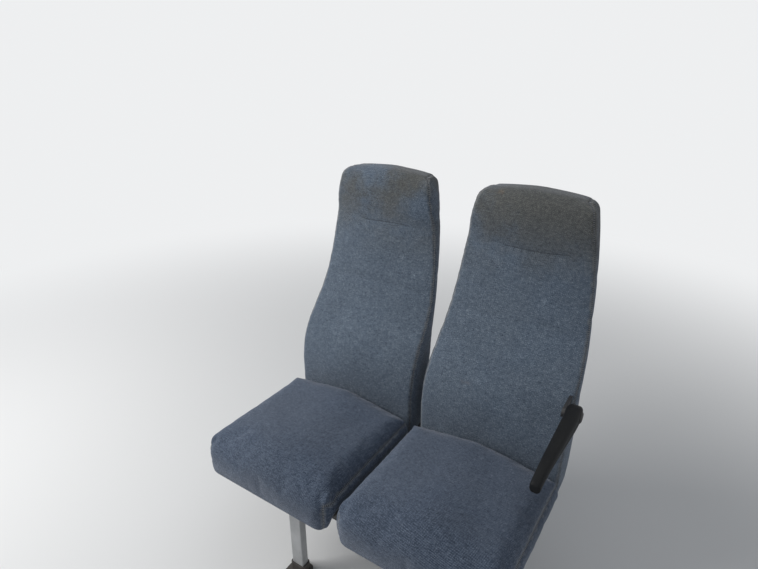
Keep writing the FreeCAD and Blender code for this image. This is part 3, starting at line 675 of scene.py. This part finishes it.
def stuff_cover(piece, pinned, pressure, growth, cap):
    """Inflates a cover between its pinned seams and keeps the result in the mesh."""
    before = read_places(piece)
    group = piece.vertex_groups.new(name="sewn")
    group.add([int(v) for v in pinned], 1.0, "REPLACE")
    cloth = piece.modifiers.new("Cover", "CLOTH")
    settings = cloth.settings
    for name, value in COVER_CLOTH.items():
        setattr(settings, name, value)
    settings.uniform_pressure_force = pressure
    settings.shrink_min = -growth
    settings.shrink_max = -growth
    settings.vertex_group_mass = "sewn"
    settings.effector_weights.gravity = 0
    cloth.collision_settings.use_collision = False
    cloth.point_cache.frame_start = 1
    cloth.point_cache.frame_end = SIMULATED_FRAMES
    for number in range(1, SIMULATED_FRAMES + 1):
        bpy.context.scene.frame_set(number)
    apply_modifier(piece, cloth)
    bpy.context.scene.frame_set(1)
    piece.vertex_groups.clear()
    move = read_places(piece) - before
    length = np.linalg.norm(move, axis=1, keepdims=True)
    capped = move / np.maximum(length, 1e-9) * cap * np.tanh(length / cap)
    write_places(piece, before + capped)
    return float(length.max())


def apply_modifier(piece, modifier):
    work_on(piece)
    bpy.ops.object.modifier_apply(modifier=modifier.name)


def subdivide_smoothly(piece):
    modifier = piece.modifiers.new("Smooth", "SUBSURF")
    modifier.levels = modifier.render_levels = 1
    apply_modifier(piece, modifier)


print("stuffing ready")

# %% [markdown]
# ## Seams
#
# A seam pulls the cover down into a narrow valley, unevenly, because each stitch gathers a
# little cloth. After the subdivision has made the grid fine enough, every point near a seam
# is pressed in, deepest on the seam itself. The material gets the distance to the seam, and
# the distance along it, as two attributes of the mesh.

# %% Pressing the seams in
LINE_PARTS = 4
SEAM_REACH = 0.04
POINTS_AT_ONCE = 3000


def finer(line):
    """The same line with more points on it."""
    share = np.linspace(0, 1, LINE_PARTS, endpoint=False)[None, :, None]
    between = line[:-1, None, :] * (1 - share) + line[1:, None, :] * share
    return np.concatenate([between.reshape(-1, 3), line[-1:]])


def nearest_on_lines(places, lines):
    """Distance from each point to the nearest line, and how far along that line it is."""
    gap = np.full(len(places), 1.0)
    run = np.zeros(len(places))
    for line in lines:
        line = finer(line)
        length = walked(line, 0)
        low, high = line.min(0) - SEAM_REACH, line.max(0) + SEAM_REACH
        close = np.nonzero(((places > low) & (places < high)).all(axis=1))[0]
        for start in range(0, len(close), POINTS_AT_ONCE):
            chunk = close[start:start + POINTS_AT_ONCE]
            squares = ((places[chunk][:, None, :] - line[None, :, :]) ** 2).sum(axis=2)
            best = squares.argmin(axis=1)
            distance = np.sqrt(squares[np.arange(len(chunk)), best])
            better = distance < gap[chunk]
            gap[chunk[better]] = distance[better]
            run[chunk[better]] = length[best[better]]
    return gap, run


def write_attribute(piece, name, values):
    layer = piece.data.attributes.new(name, "FLOAT", "POINT")
    layer.data.foreach_set("value", values.astype(np.float32))


def press_seams(piece, lines, depth, width):
    """Presses an uneven valley along each line and keeps where the seams are."""
    places = read_places(piece)
    normals = np.empty(len(places) * 3)
    piece.data.vertices.foreach_get("normal", normals)
    gap, run = nearest_on_lines(places, lines)
    uneven = 1 + 0.12 * np.sin(run * 190) * np.sin(run * 47)
    valley = depth * np.exp(-(gap / width) ** 2) * uneven
    beside = np.exp(-((gap - 0.007) / 0.006) ** 2)
    ripple = 0.0003 * np.sin(run * 330 + 2 * np.sin(run * 31)) * beside
    write_places(piece, places - normals.reshape(-1, 3) * (valley - ripple)[:, None])
    write_attribute(piece, "seam_gap", gap)
    write_attribute(piece, "seam_run", run)


def keep_as_cover(piece, material, node):
    """Paints a stuffed cover, and says which foam block it stands for."""
    work_on(piece)
    bpy.ops.object.shade_smooth()
    piece.data.materials.clear()
    piece.data.materials.append(material)
    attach(piece, "seat")
    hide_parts(node)


def make_cover(name, block, numbers, places, seams, held, sides_join_top, offset,
               stuffing, valley):
    """A woven cover from a block's points in their new places, stuffed and then seamed.

    The held sheets stay where they are. Stuffing is pressure, growth and cap, and a valley
    is depth and width.
    """
    cover = add_piece(name, block.data.copy())
    write_places(cover, places)
    lay_weave(cover, numbers, offset, sides_join_top)
    pinned = set(np.concatenate(seams))
    for sheet in held:
        pinned |= set(sheet[sheet >= 0])
    moved = stuff_cover(cover, sorted(pinned), *stuffing)
    subdivide_smoothly(cover)
    press_seams(cover, [read_places(cover)[seam] for seam in seams], *valley)
    print(name, "moved up to", round(moved * 1000, 1), "mm,", len(cover.data.polygons), "faces")
    return cover


print("seam tools ready")

# %% [markdown]
# ## Both backs
#
# Years of leaning heads have left a shallow crease below the head roll, with small tucks
# under it, and the broad panel isn't quite even any more. The two backs get different
# numbers for this, so that they aren't copies of each other. Two more attributes tell the
# material where the crease is. The first is positive below it and negative above it, since
# a value is only known at the points of the mesh and the zero in between must not be lost.

# %% Make the backs
PLACE_MIDDLE = {"window": -0.2225, "aisle": 0.2225}
FOLD_DROP = 0.148
FOLD_HALF = 0.075
ROWS_BEHIND_CUSHION = 12


def fold_line(places, seed):
    """How far below the crease a point is, and how far past its ends or behind the front."""
    x, y, z = places.T
    line = FOLD_DROP + 0.004 * np.sin(9 * x + seed) + 0.002 * np.sin(33 * x + 2 * seed)
    ends = np.clip(np.abs(x - 0.008 * seed) - FOLD_HALF, 0, None) * 0.12
    behind = np.clip(y - middle_line(z) - 0.02, 0, None)
    return BACK_TOP - z - line, ends + behind


def worn_front(places, seed):
    """How far the front of a back gives way: crease, tucks and slow unevenness."""
    x, y, z = places.T
    drop = BACK_TOP - z
    facing = np.clip((middle_line(z) + 0.025 - y) / 0.02, 0, 1)
    below, end = fold_line(places, seed)
    crease = 0.0030 * np.exp(-((np.abs(below) + end) / 0.0048) ** 2)
    tuck = 0.0009 * np.sin(110 * x + 45 * drop + seed) * np.exp(-((below - 0.022) / 0.02) ** 2)
    slow = 0.0011 * np.sin(17 * x + 3 * seed) * np.sin(21 * drop + seed)
    slow += 0.0007 * np.sin(41 * x - seed) * np.sin(13 * drop + 5 * seed)
    return (crease + tuck + slow) * facing


def make_back(side, seed):
    """One upholstered back."""
    held = [back_numbers[:, :, :FOOT_ROWS + 1], back_numbers[:, 0, :ROWS_BEHIND_CUSHION]]
    back = make_cover("back_cover_" + side, back_block, back_numbers, shape_back(back_unit),
                      back_seams(back_numbers), held, False, 0.0131 * seed,
                      (2.2, 0.001 + 0.001 * seed, 0.005), (0.0022, 0.0045))
    places = read_places(back)
    below, end = fold_line(places, 1.7 * seed)
    write_attribute(back, "fold_side", below)
    write_attribute(back, "fold_end", end)
    places[:, 1] += worn_front(places, 1.7 * seed)
    places[:, 0] += PLACE_MIDDLE[side]
    write_places(back, places)
    keep_as_cover(back, BACK_CLOTH, "back_pad_" + side)


for seed, side in enumerate(PLACE_MIDDLE, start=1):
    make_back(side, seed)
bpy.data.objects.remove(back_block)

# %% [markdown]
# ## The cushions
#
# A cushion is lower and wider. Its top panel is crowned, falls towards both sides down to a
# seam about 5 cm below the crown, and rolls over the knees in front. Below the seam a side
# strip bulges a little and tucks in under the board. The rear meets the back in a dark
# crease, which is lower at the sides than in the middle.

# %% Pressing a block into a cushion
CUSHION_STEPS = (44, 42, 16)
SEAM_ROW = 9
SEAM_HEIGHT = 0.4200
CUSHION_LOW, CUSHION_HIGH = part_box("seat_cushion_aisle")
BOARD_LOW, BOARD_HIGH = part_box("seat_base_aisle")
CUSHION_HALF = 0.2085
CUSHION_FRONT = CUSHION_LOW.y + 0.001
CUSHION_REAR = CUSHION_HIGH.y
LIP_REAR = BOARD_LOW.y - 0.0008
LIP_BOTTOM = CUSHION_LOW.z + 0.0005
LIP_SLOPE = 0.018
BOARD_TOP = BOARD_HIGH.z + 0.0006
SIDE_FALL = 0.034
KNEE_ROUND, REAR_ROUND, LOW_EDGE = 0.058, 0.026, 0.010
PLAN_FRONT_ROUND, PLAN_REAR_ROUND = 0.036, 0.020
SIDE_BELLY, FRONT_BELLY = 0.0095, 0.003

cushion_top = smooth_curve([
    (-292, 478.5), (-230, 480.5), (-150, 478.5), (-50, 472), (40, 465.5), (90, 461.5), (114, 457),
])


def shape_cushion(unit):
    """Where the points of the unit block go in a cushion, with its middle at X = 0."""
    across, depth, share = unit[:, 0], (unit[:, 1] + 1) / 2, (unit[:, 2] + 1) / 2
    x = across * CUSHION_HALF
    y = CUSHION_FRONT + depth * (CUSHION_REAR - CUSHION_FRONT)
    hang = np.clip((LIP_REAR - y) / LIP_SLOPE, 0, 1)
    low = BOARD_TOP + (LIP_BOTTOM - BOARD_TOP) * hang * hang * (3 - 2 * hang)
    high = cushion_top(y) - SIDE_FALL * (np.sqrt(across ** 2 + 0.04) - 0.2)
    seam_share = SEAM_ROW / CUSHION_STEPS[2]
    below = (SEAM_HEIGHT - low) * np.clip(share / seam_share, 0, 1)
    above = (high - SEAM_HEIGHT) * np.clip((share - seam_share) / (1 - seam_share), 0, 1)
    z = low + below + above
    ahead = y < (CUSHION_FRONT + CUSHION_REAR) / 2
    knee = np.where(ahead, KNEE_ROUND, REAR_ROUND)
    out_y = np.where(ahead, CUSHION_FRONT + knee - y, y - (CUSHION_REAR - knee))
    y, z = press_corner(y, z, out_y, z - (high - knee), np.where(ahead, -1, 1), 1)
    side_roll = np.clip(high - SEAM_HEIGHT - 0.002, 0.010, 0.046)
    out_x = np.abs(x) - (CUSHION_HALF - side_roll)
    x, z = press_corner(x, z, out_x, z - (high - side_roll), np.sign(x), 1)
    out_x = np.abs(x) - (CUSHION_HALF - LOW_EDGE)
    x, z = press_corner(x, z, out_x, (low + LOW_EDGE) - z, np.sign(x), -1)
    x, y = press_plan(x, y, CUSHION_HALF, CUSHION_FRONT, CUSHION_REAR,
                      PLAN_FRONT_ROUND, PLAN_REAR_ROUND)
    on_side = np.clip((np.abs(x) / CUSHION_HALF - 0.93) / 0.07, 0, 1)
    belly = np.clip((z - low) / (SEAM_HEIGHT - low), 0, 1)
    x += np.sign(x) * SIDE_BELLY * np.sin(math.pi * belly) * on_side
    on_front = np.clip((CUSHION_FRONT + 0.02 - y) / 0.02, 0, 1)
    y -= FRONT_BELLY * np.sin(math.pi * np.clip((z - low) / (high - low), 0, 1)) * on_front
    return np.stack([x, y, z], axis=1)


def cushion_seams(numbers):
    """Vertex numbers of both side seams, from the rear to the front and down its edge."""
    return [[*numbers[column, ::-1, SEAM_ROW], *numbers[column, 0, SEAM_ROW - 1::-1]]
            for column in (0, -1)]


cushion_block = sliced_block("cushion_block", CUSHION_STEPS)
cushion_numbers = block_numbers(cushion_block, CUSHION_STEPS)
cushion_unit = read_places(cushion_block)
print("points in a cushion:", len(cushion_unit))

# %% Make the cushions
def worn_seat(places, seed):
    """How far the top of a cushion gives way where people sit."""
    x, y, z = places.T
    on_top = np.clip((z - 0.435) / 0.02, 0, 1)
    hollow = 0.006 * np.exp(-(x / 0.12) ** 2 - ((y + 0.05) / 0.12) ** 2)
    slow = 0.0012 * np.sin(19 * x + seed) * np.sin(16 * y + 2 * seed)
    slow += 0.0008 * np.sin(37 * x + 11 * y + seed)
    gathers = 0.0010 * np.sin(70 * x + seed) * np.exp(-((y - 0.085) / 0.025) ** 2)
    return (hollow + slow + gathers) * on_top


def make_cushion(side, seed):
    """One upholstered cushion."""
    held = [cushion_numbers[:, :, :2], cushion_numbers[:, -1, :13]]
    cushion = make_cover("cushion_cover_" + side, cushion_block, cushion_numbers,
                         shape_cushion(cushion_unit), cushion_seams(cushion_numbers), held,
                         True, 0.0171 * seed, (3.2, 0.008, 0.006), (0.0020, 0.0050))
    places = read_places(cushion)
    write_attribute(cushion, "fold_end", np.ones(len(places)))
    places[:, 2] -= worn_seat(places, 1.3 * seed)
    places[:, 0] += PLACE_MIDDLE[side]
    write_places(cushion, places)
    keep_as_cover(cushion, SHADED_SEAT_CLOTH, "seat_cushion_" + side)


for seed, side in enumerate(PLACE_MIDDLE, start=3):
    make_cushion(side, seed)
bpy.data.objects.remove(cushion_block)

# %% [markdown]
# ## The armrest
#
# The armrest is one moulding of dark, slightly soft plastic. It is wide and round at its
# pivot, grows narrower and lower towards the front, and turns down at its tip. Its edges
# are so round that the top looks like a cushion. The same sliced block is used: its points
# are laid between the bar's upper and lower lines, and where they come close to a flank
# the outline draws in along a quarter circle.

# %% Armrest skin
ARM_STEPS = (16, 56, 12)
ARM_LOW, ARM_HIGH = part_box("armrest")
ARM_TIP, ARM_REAR = ARM_LOW.y, ARM_HIGH.y
ARM_WIDTH = ARM_HIGH.x - ARM_LOW.x
ARM_TIP_WIDTH = 0.0240
ARM_HEAD = 0.052
ARM_EDGE = 0.0095
ARM_REAR_ROUND, ARM_TIP_ROUND, ARM_LEAST_ROUND = 0.0245, 0.0085, 0.002

arm_upper = smooth_curve([
    (-140, 616.5), (-105, 625.5), (-70, 631.3), (0, 638.1), (75, 645.2), (150, 652),
])
arm_lower = smooth_curve([(-140, 589.3), (-105, 598.4), (-70, 603.3), (0, 603), (150, 600.2)])


def shape_armrest(unit):
    """Where the points of the unit block go in the armrest."""
    across, along, up = np.sin(unit[:, 0] * math.pi / 2), (unit[:, 1] + 1) / 2, unit[:, 2]
    start = ARM_TIP + along * (ARM_REAR - ARM_TIP)
    taper = np.clip((start - ARM_TIP) / (ARM_REAR - ARM_HEAD - ARM_TIP), 0, 1)
    width = ARM_TIP_WIDTH + (ARM_WIDTH - ARM_TIP_WIDTH) * taper
    into_edge = np.clip((np.abs(across) * width / 2 - (width / 2 - ARM_EDGE)) / ARM_EDGE, 0, 1)
    inset = ARM_EDGE * (1 - np.sqrt(1 - into_edge ** 2))
    low_y, high_y = ARM_TIP + 0.6 * inset, ARM_REAR - inset
    y = low_y + along * (high_y - low_y)
    top, bottom = arm_upper(y) - inset, arm_lower(y) + inset
    z = (top + bottom) / 2 + up * (top - bottom) / 2
    at_rear = along > 0.5
    outward = np.where(at_rear, 1, -1)
    radius = np.where(at_rear, ARM_REAR_ROUND, ARM_TIP_ROUND) - inset
    radius = np.maximum(radius, ARM_LEAST_ROUND)
    for upward in (1, -1):
        out_y = np.where(at_rear, y - (high_y - radius), low_y + radius - y)
        out_z = z - (top - radius) if upward > 0 else (bottom + radius) - z
        y, z = press_corner(y, z, out_y, out_z, outward, upward)
    x = ARM_LOW.x + width / 2 + across * width / 2
    return np.stack([x, y, z], axis=1)


armrest = sliced_block("armrest_skin", ARM_STEPS)
write_places(armrest, shape_armrest(read_places(armrest)))
subdivide_smoothly(armrest)
bpy.ops.object.shade_smooth()
places = read_places(armrest)
print("armrest box:", places.min(0).round(4), places.max(0).round(4))

# %% [markdown]
# Moulded plastic isn't one flat colour. It has a fine leather-like grain, is greasy and
# smoother where hands rest, and shows long fine scratches that run with the bar.

# %% Armrest plastic
def make_armrest_plastic():
    net = Finish("armrest_charcoal", (0.016, 0.017, 0.018), 0.55)
    grain = net.add("ShaderNodeTexVoronoi", {"Vector": net.place, "Scale": 900.0})
    scratch = net.band(net.streaks(net.place, (900.0, 26.0, 900.0), 2.0, 0.7), 0.66, 0.72)
    cloud, base = net.clouds(24.0, (0.004, 0.005, 0.007), (0.009, 0.010, 0.011), detail=4.0)
    upward = net.z_part(net.add("ShaderNodeNewGeometry").outputs["Normal"])
    dust = net.times(net.band(upward, 0.2, 0.9), 0.04)
    dusty = net.mix(dust, base, (0.085, 0.078, 0.068, 1))
    scratched = net.mix(net.times(scratch, 0.22), dusty, (0.11, 0.105, 0.10, 1))
    rough = net.plus(0.44, net.times(cloud, 0.26))
    relief = net.minus(net.times(grain.outputs["Distance"], 0.8), net.times(scratch, 0.5))
    net.shader.inputs["Specular IOR Level"].default_value = 0.12
    return net.finish(scratched, rough, relief, 0.35, 0.0004)


armrest.data.materials.append(make_armrest_plastic())
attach(armrest, "armrest_bar")
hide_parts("armrest")
print("armrest faces:", len(armrest.data.polygons))

# %% [markdown]
# ## Steel and plastic of the frame
#
# The frame's own shapes stay as they came from CAD, and only get better finishes: black
# powder coat with its orange-peel skin and a film of floor dust, silver paint that is
# scuffed by shoes, and grained black plastic.

# %% Frame finishes
def make_powder_coat():
    net = Finish("powder_coat_black", (0.02, 0.02, 0.022), 0.45)
    peel = net.noise(net.place, 420.0, 2.0, 0.5)
    cloud, base = net.clouds(14.0, (0.014, 0.014, 0.016), (0.034, 0.034, 0.036), 0.75)
    chip = net.band(net.noise(net.place, 75.0, 3.0, 0.7), 0.70, 0.73)
    low = net.fade(net.z_part(net.place), 0.0, 0.12)
    dust = net.times(low, net.times(cloud, 0.55))
    dusty = net.mix(dust, base, (0.16, 0.145, 0.125, 1))
    worn = net.mix(net.times(chip, 0.35), dusty, (0.17, 0.165, 0.16, 1))
    rough = net.plus(0.36, net.times(cloud, 0.30))
    return net.finish(worn, rough, peel, 0.25, 0.0006)


def make_silver_paint():
    net = Finish("silver_paint", (0.40, 0.41, 0.42), 0.4, 0.25)
    cloud, base = net.clouds(18.0, (0.34, 0.35, 0.36), (0.46, 0.47, 0.48))
    flake = net.noise(net.place, 1500.0, 1.0, 0.5)
    scuff = net.band(net.streaks(net.place, (160.0, 160.0, 14.0), 4.0, 0.7), 0.60, 0.72)
    low = net.fade(net.z_part(net.place), 0.03, 0.20)
    worn = net.times(scuff, net.plus(0.15, net.times(low, 0.5)))
    scuffed = net.mix(worn, base, (0.07, 0.068, 0.065, 1))
    rough = net.plus(0.30, net.times(net.plus(cloud, scuff), 0.2))
    return net.finish(scuffed, rough, flake, 0.12, 0.0003)


def make_black_plastic():
    net = Finish("black_plastic_grained", (0.02, 0.02, 0.02), 0.6)
    grain = net.add("ShaderNodeTexVoronoi", {"Vector": net.place, "Scale": 620.0})
    cloud, base = net.clouds(11.0, (0.015, 0.015, 0.016), (0.036, 0.035, 0.034), 0.75)
    rough = net.plus(0.5, net.times(cloud, 0.25))
    return net.finish(base, rough, grain.outputs["Distance"], 0.3, 0.0005)


def make_zinc():
    net = Finish("zinc_plate", (0.50, 0.50, 0.48), 0.35, 1.0)
    cloud, base = net.clouds(160.0, (0.34, 0.34, 0.33), (0.56, 0.56, 0.53), 0.7, 4.0, 0.65)
    rough = net.plus(0.26, net.times(cloud, 0.25))
    return net.finish(base, rough, cloud, 0.15, 0.0004)


FINISHES = {
    "black_painted_steel": make_powder_coat(),
    "silver_painted_steel": make_silver_paint(),
    "black_plastic": make_black_plastic(),
}
ZINC = make_zinc()
painted = 0
for subpart in frame["record"]["subparts"]:
    finish = FINISHES.get(subpart["material_slot"])
    if finish:
        node = frame["nodes"][subpart["node"]]
        for material_slot in node.material_slots:
            material_slot.material = finish
        painted += 1
print("frame pieces painted:", painted)

# %% [markdown]
# ## Small metal parts
#
# Each foot is held by one bolt with a washer. A bolt head is a six-sided cylinder whose top
# is raised a little inside its rim and dished in the middle. A washer is a thin disc, as the
# head hides its hole. They are modelled once and copied to the four feet. The armrest's pin
# ends in a domed cap.

# %% Bolts and washers
BOLT_SPOTS = [(x, y) for x in (-0.19, 0.19) for y in (-0.242, 0.242)]
PLATE_TOP = 0.008
WASHER_HEIGHT = 0.0020
HEAD_HEIGHT = 0.0064


def bevel_edges(piece, width, segments, sharp_degrees=30):
    """Bevels the sharp edges of a piece."""
    modifier = piece.modifiers.new("Edges", "BEVEL")
    modifier.width = width
    modifier.segments = segments
    modifier.limit_method = "ANGLE"
    modifier.angle_limit = math.radians(sharp_degrees)
    apply_modifier(piece, modifier)
    bpy.ops.object.shade_smooth_by_angle(angle=math.radians(28))


def move_into_mesh(piece):
    """Puts the object's place into its mesh, so that the object sits at the origin."""
    work_on(piece)
    bpy.ops.object.transform_apply(location=True, rotation=True, scale=True)


def add_cylinder(name, vertices, radius, low, height):
    """An upright cylinder at X = Y = 0 that starts at the height low."""
    bpy.ops.mesh.primitive_cylinder_add(vertices=vertices, radius=radius, depth=height,
                                        location=(0, 0, low + height / 2))
    bpy.context.object.name = name
    return bpy.context.object


def make_bolt_head():
    head = add_cylinder("bolt_head", 6, 0.0098, PLATE_TOP + WASHER_HEIGHT, HEAD_HEIGHT)
    for face in head.data.polygons:
        face.select = face.normal.z > 0.9
    bpy.context.tool_settings.mesh_select_mode = (False, False, True)
    bpy.ops.object.mode_set(mode="EDIT")
    bpy.ops.mesh.inset(thickness=0.0012, depth=0.0008)
    bpy.ops.mesh.inset(thickness=0.0030, depth=-0.0003)
    bpy.ops.object.mode_set(mode="OBJECT")
    bevel_edges(head, 0.0003, 2, 20)
    return head


def place_on_feet(model, turn_step):
    """Copies a part to the four floor bolts, each turned a little differently."""
    move_into_mesh(model)
    for number, (x, y) in enumerate(BOLT_SPOTS):
        copy = add_piece(f"{model.name}_{number + 1}", model.data.copy())
        copy.data.transform(Matrix.Rotation(turn_step * number, 4, "Z"))
        copy.data.transform(Matrix.Translation((x, y, 0)))
        copy.data.materials.append(ZINC)
        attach(copy, "seat")
    bpy.data.objects.remove(model)


washer = add_cylinder("washer", 40, 0.0110, PLATE_TOP, WASHER_HEIGHT)
bevel_edges(washer, 0.0004, 2)
place_on_feet(washer, 0.0)
place_on_feet(make_bolt_head(), 0.37)
print("bolts:", len(BOLT_SPOTS))

# %% The pivot's cap
CAP_RADIUS = 0.0150
CAP_FLATTENING = 0.26
CAP_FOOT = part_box("armrest_pivot")[1].x - 0.0030
PIN_Y, PIN_Z = ARM_REAR - 0.026, 0.626

bpy.ops.mesh.primitive_uv_sphere_add(segments=48, ring_count=24, radius=CAP_RADIUS,
                                     location=(0, 0, 0), rotation=(0, math.pi / 2, 0))
cap = bpy.context.object
cap.name = "pivot_cap"
move_into_mesh(cap)
bpy.ops.object.mode_set(mode="EDIT")
bpy.ops.mesh.select_all(action="SELECT")
bpy.ops.mesh.bisect(plane_co=(0.0001, 0, 0), plane_no=(1, 0, 0), clear_inner=True, use_fill=True)
bpy.ops.mesh.select_all(action="SELECT")
bpy.ops.transform.resize(value=(CAP_FLATTENING, 1, 1), center_override=(0, 0, 0))
bpy.ops.transform.translate(value=(CAP_FOOT, PIN_Y, PIN_Z))
bpy.ops.object.mode_set(mode="OBJECT")
bevel_edges(cap, 0.0006, 3, 50)
cap.data.materials.append(FINISHES["black_plastic"])
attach(cap, "seat")
print("cap box:", read_places(cap).min(0), read_places(cap).max(0))

# %% [markdown]
# ## Weld beads
#
# Where tubes meet they are welded. A bead is a round cord of metal laid along the joint,
# with the ripples of a moving torch. It starts as a curve with a thickness that swells and
# shrinks along it, and is then made a mesh.

# %% Welds
CORNER_STEPS = 6
BEAD_STEP = 0.0013


def tube_outline(low, high, height, corner):
    """Points once round a square tube at one height."""
    middle_x, middle_y = (low.x + high.x) / 2, (low.y + high.y) / 2
    points = []
    for quarter, (side_x, side_y) in enumerate(((1, 1), (-1, 1), (-1, -1), (1, -1))):
        for step in range(CORNER_STEPS + 1):
            angle = (quarter + step / CORNER_STEPS) * math.pi / 2
            x = side_x * ((high.x - low.x) / 2 - corner) + corner * math.cos(angle)
            y = side_y * ((high.y - low.y) / 2 - corner) + corner * math.sin(angle)
            points.append((middle_x + x, middle_y + y, height))
    return points


def even_steps(points, step, closed):
    """The same path, with points at even distances."""
    path = np.array(points + points[:1] if closed else points)
    length = walked(path, 0)
    wanted = np.linspace(0, length[-1], int(length[-1] / step), endpoint=not closed)
    return np.stack([np.interp(wanted, length, path[:, axis]) for axis in range(3)], axis=1)


def lay_bead(name, points, radius, closed=True):
    """A rippled weld bead along a path."""
    path = even_steps(points, BEAD_STEP, closed)
    curve = bpy.data.curves.new(name, "CURVE")
    curve.dimensions = "3D"
    curve.bevel_depth = radius
    curve.bevel_resolution = 2
    curve.use_fill_caps = True
    spline = curve.splines.new("POLY")
    spline.points.add(len(path) - 1)
    spline.use_cyclic_u = closed
    for number, (point, place) in enumerate(zip(spline.points, path)):
        point.co = (*place, 1)
        point.radius = 1 + 0.13 * math.sin(number * 1.9) + 0.10 * math.sin(number * 0.23)
    work_on(add_piece(name, curve))
    bpy.ops.object.convert(target="MESH")
    bead = bpy.context.object
    bpy.ops.object.shade_smooth()
    bead.data.materials.append(FINISHES["black_painted_steel"])
    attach(bead, "seat")


RAIL_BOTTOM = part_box("front_rail")[0].z
for row in ("front", "rear"):
    for side in ("window", "aisle"):
        outline = tube_outline(*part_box(f"leg_{row}_{side}"), RAIL_BOTTOM - 0.0008, 0.003)
        lay_bead(f"weld_leg_{row}_{side}", outline, 0.0021)
for side in ("window", "aisle"):
    for flank in ("left", "right"):
        low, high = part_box(f"side_rail_{side}_{flank}")
        for end, y in (("front", low.y + 0.0006), ("rear", high.y - 0.0006)):
            for edge, x in (("low", low.x), ("high", high.x)):
                line = [(x, y, low.z + 0.004), (x, y, high.z - 0.004)]
                lay_bead(f"weld_{side}_{flank}_{end}_{edge}", line, 0.0022, False)
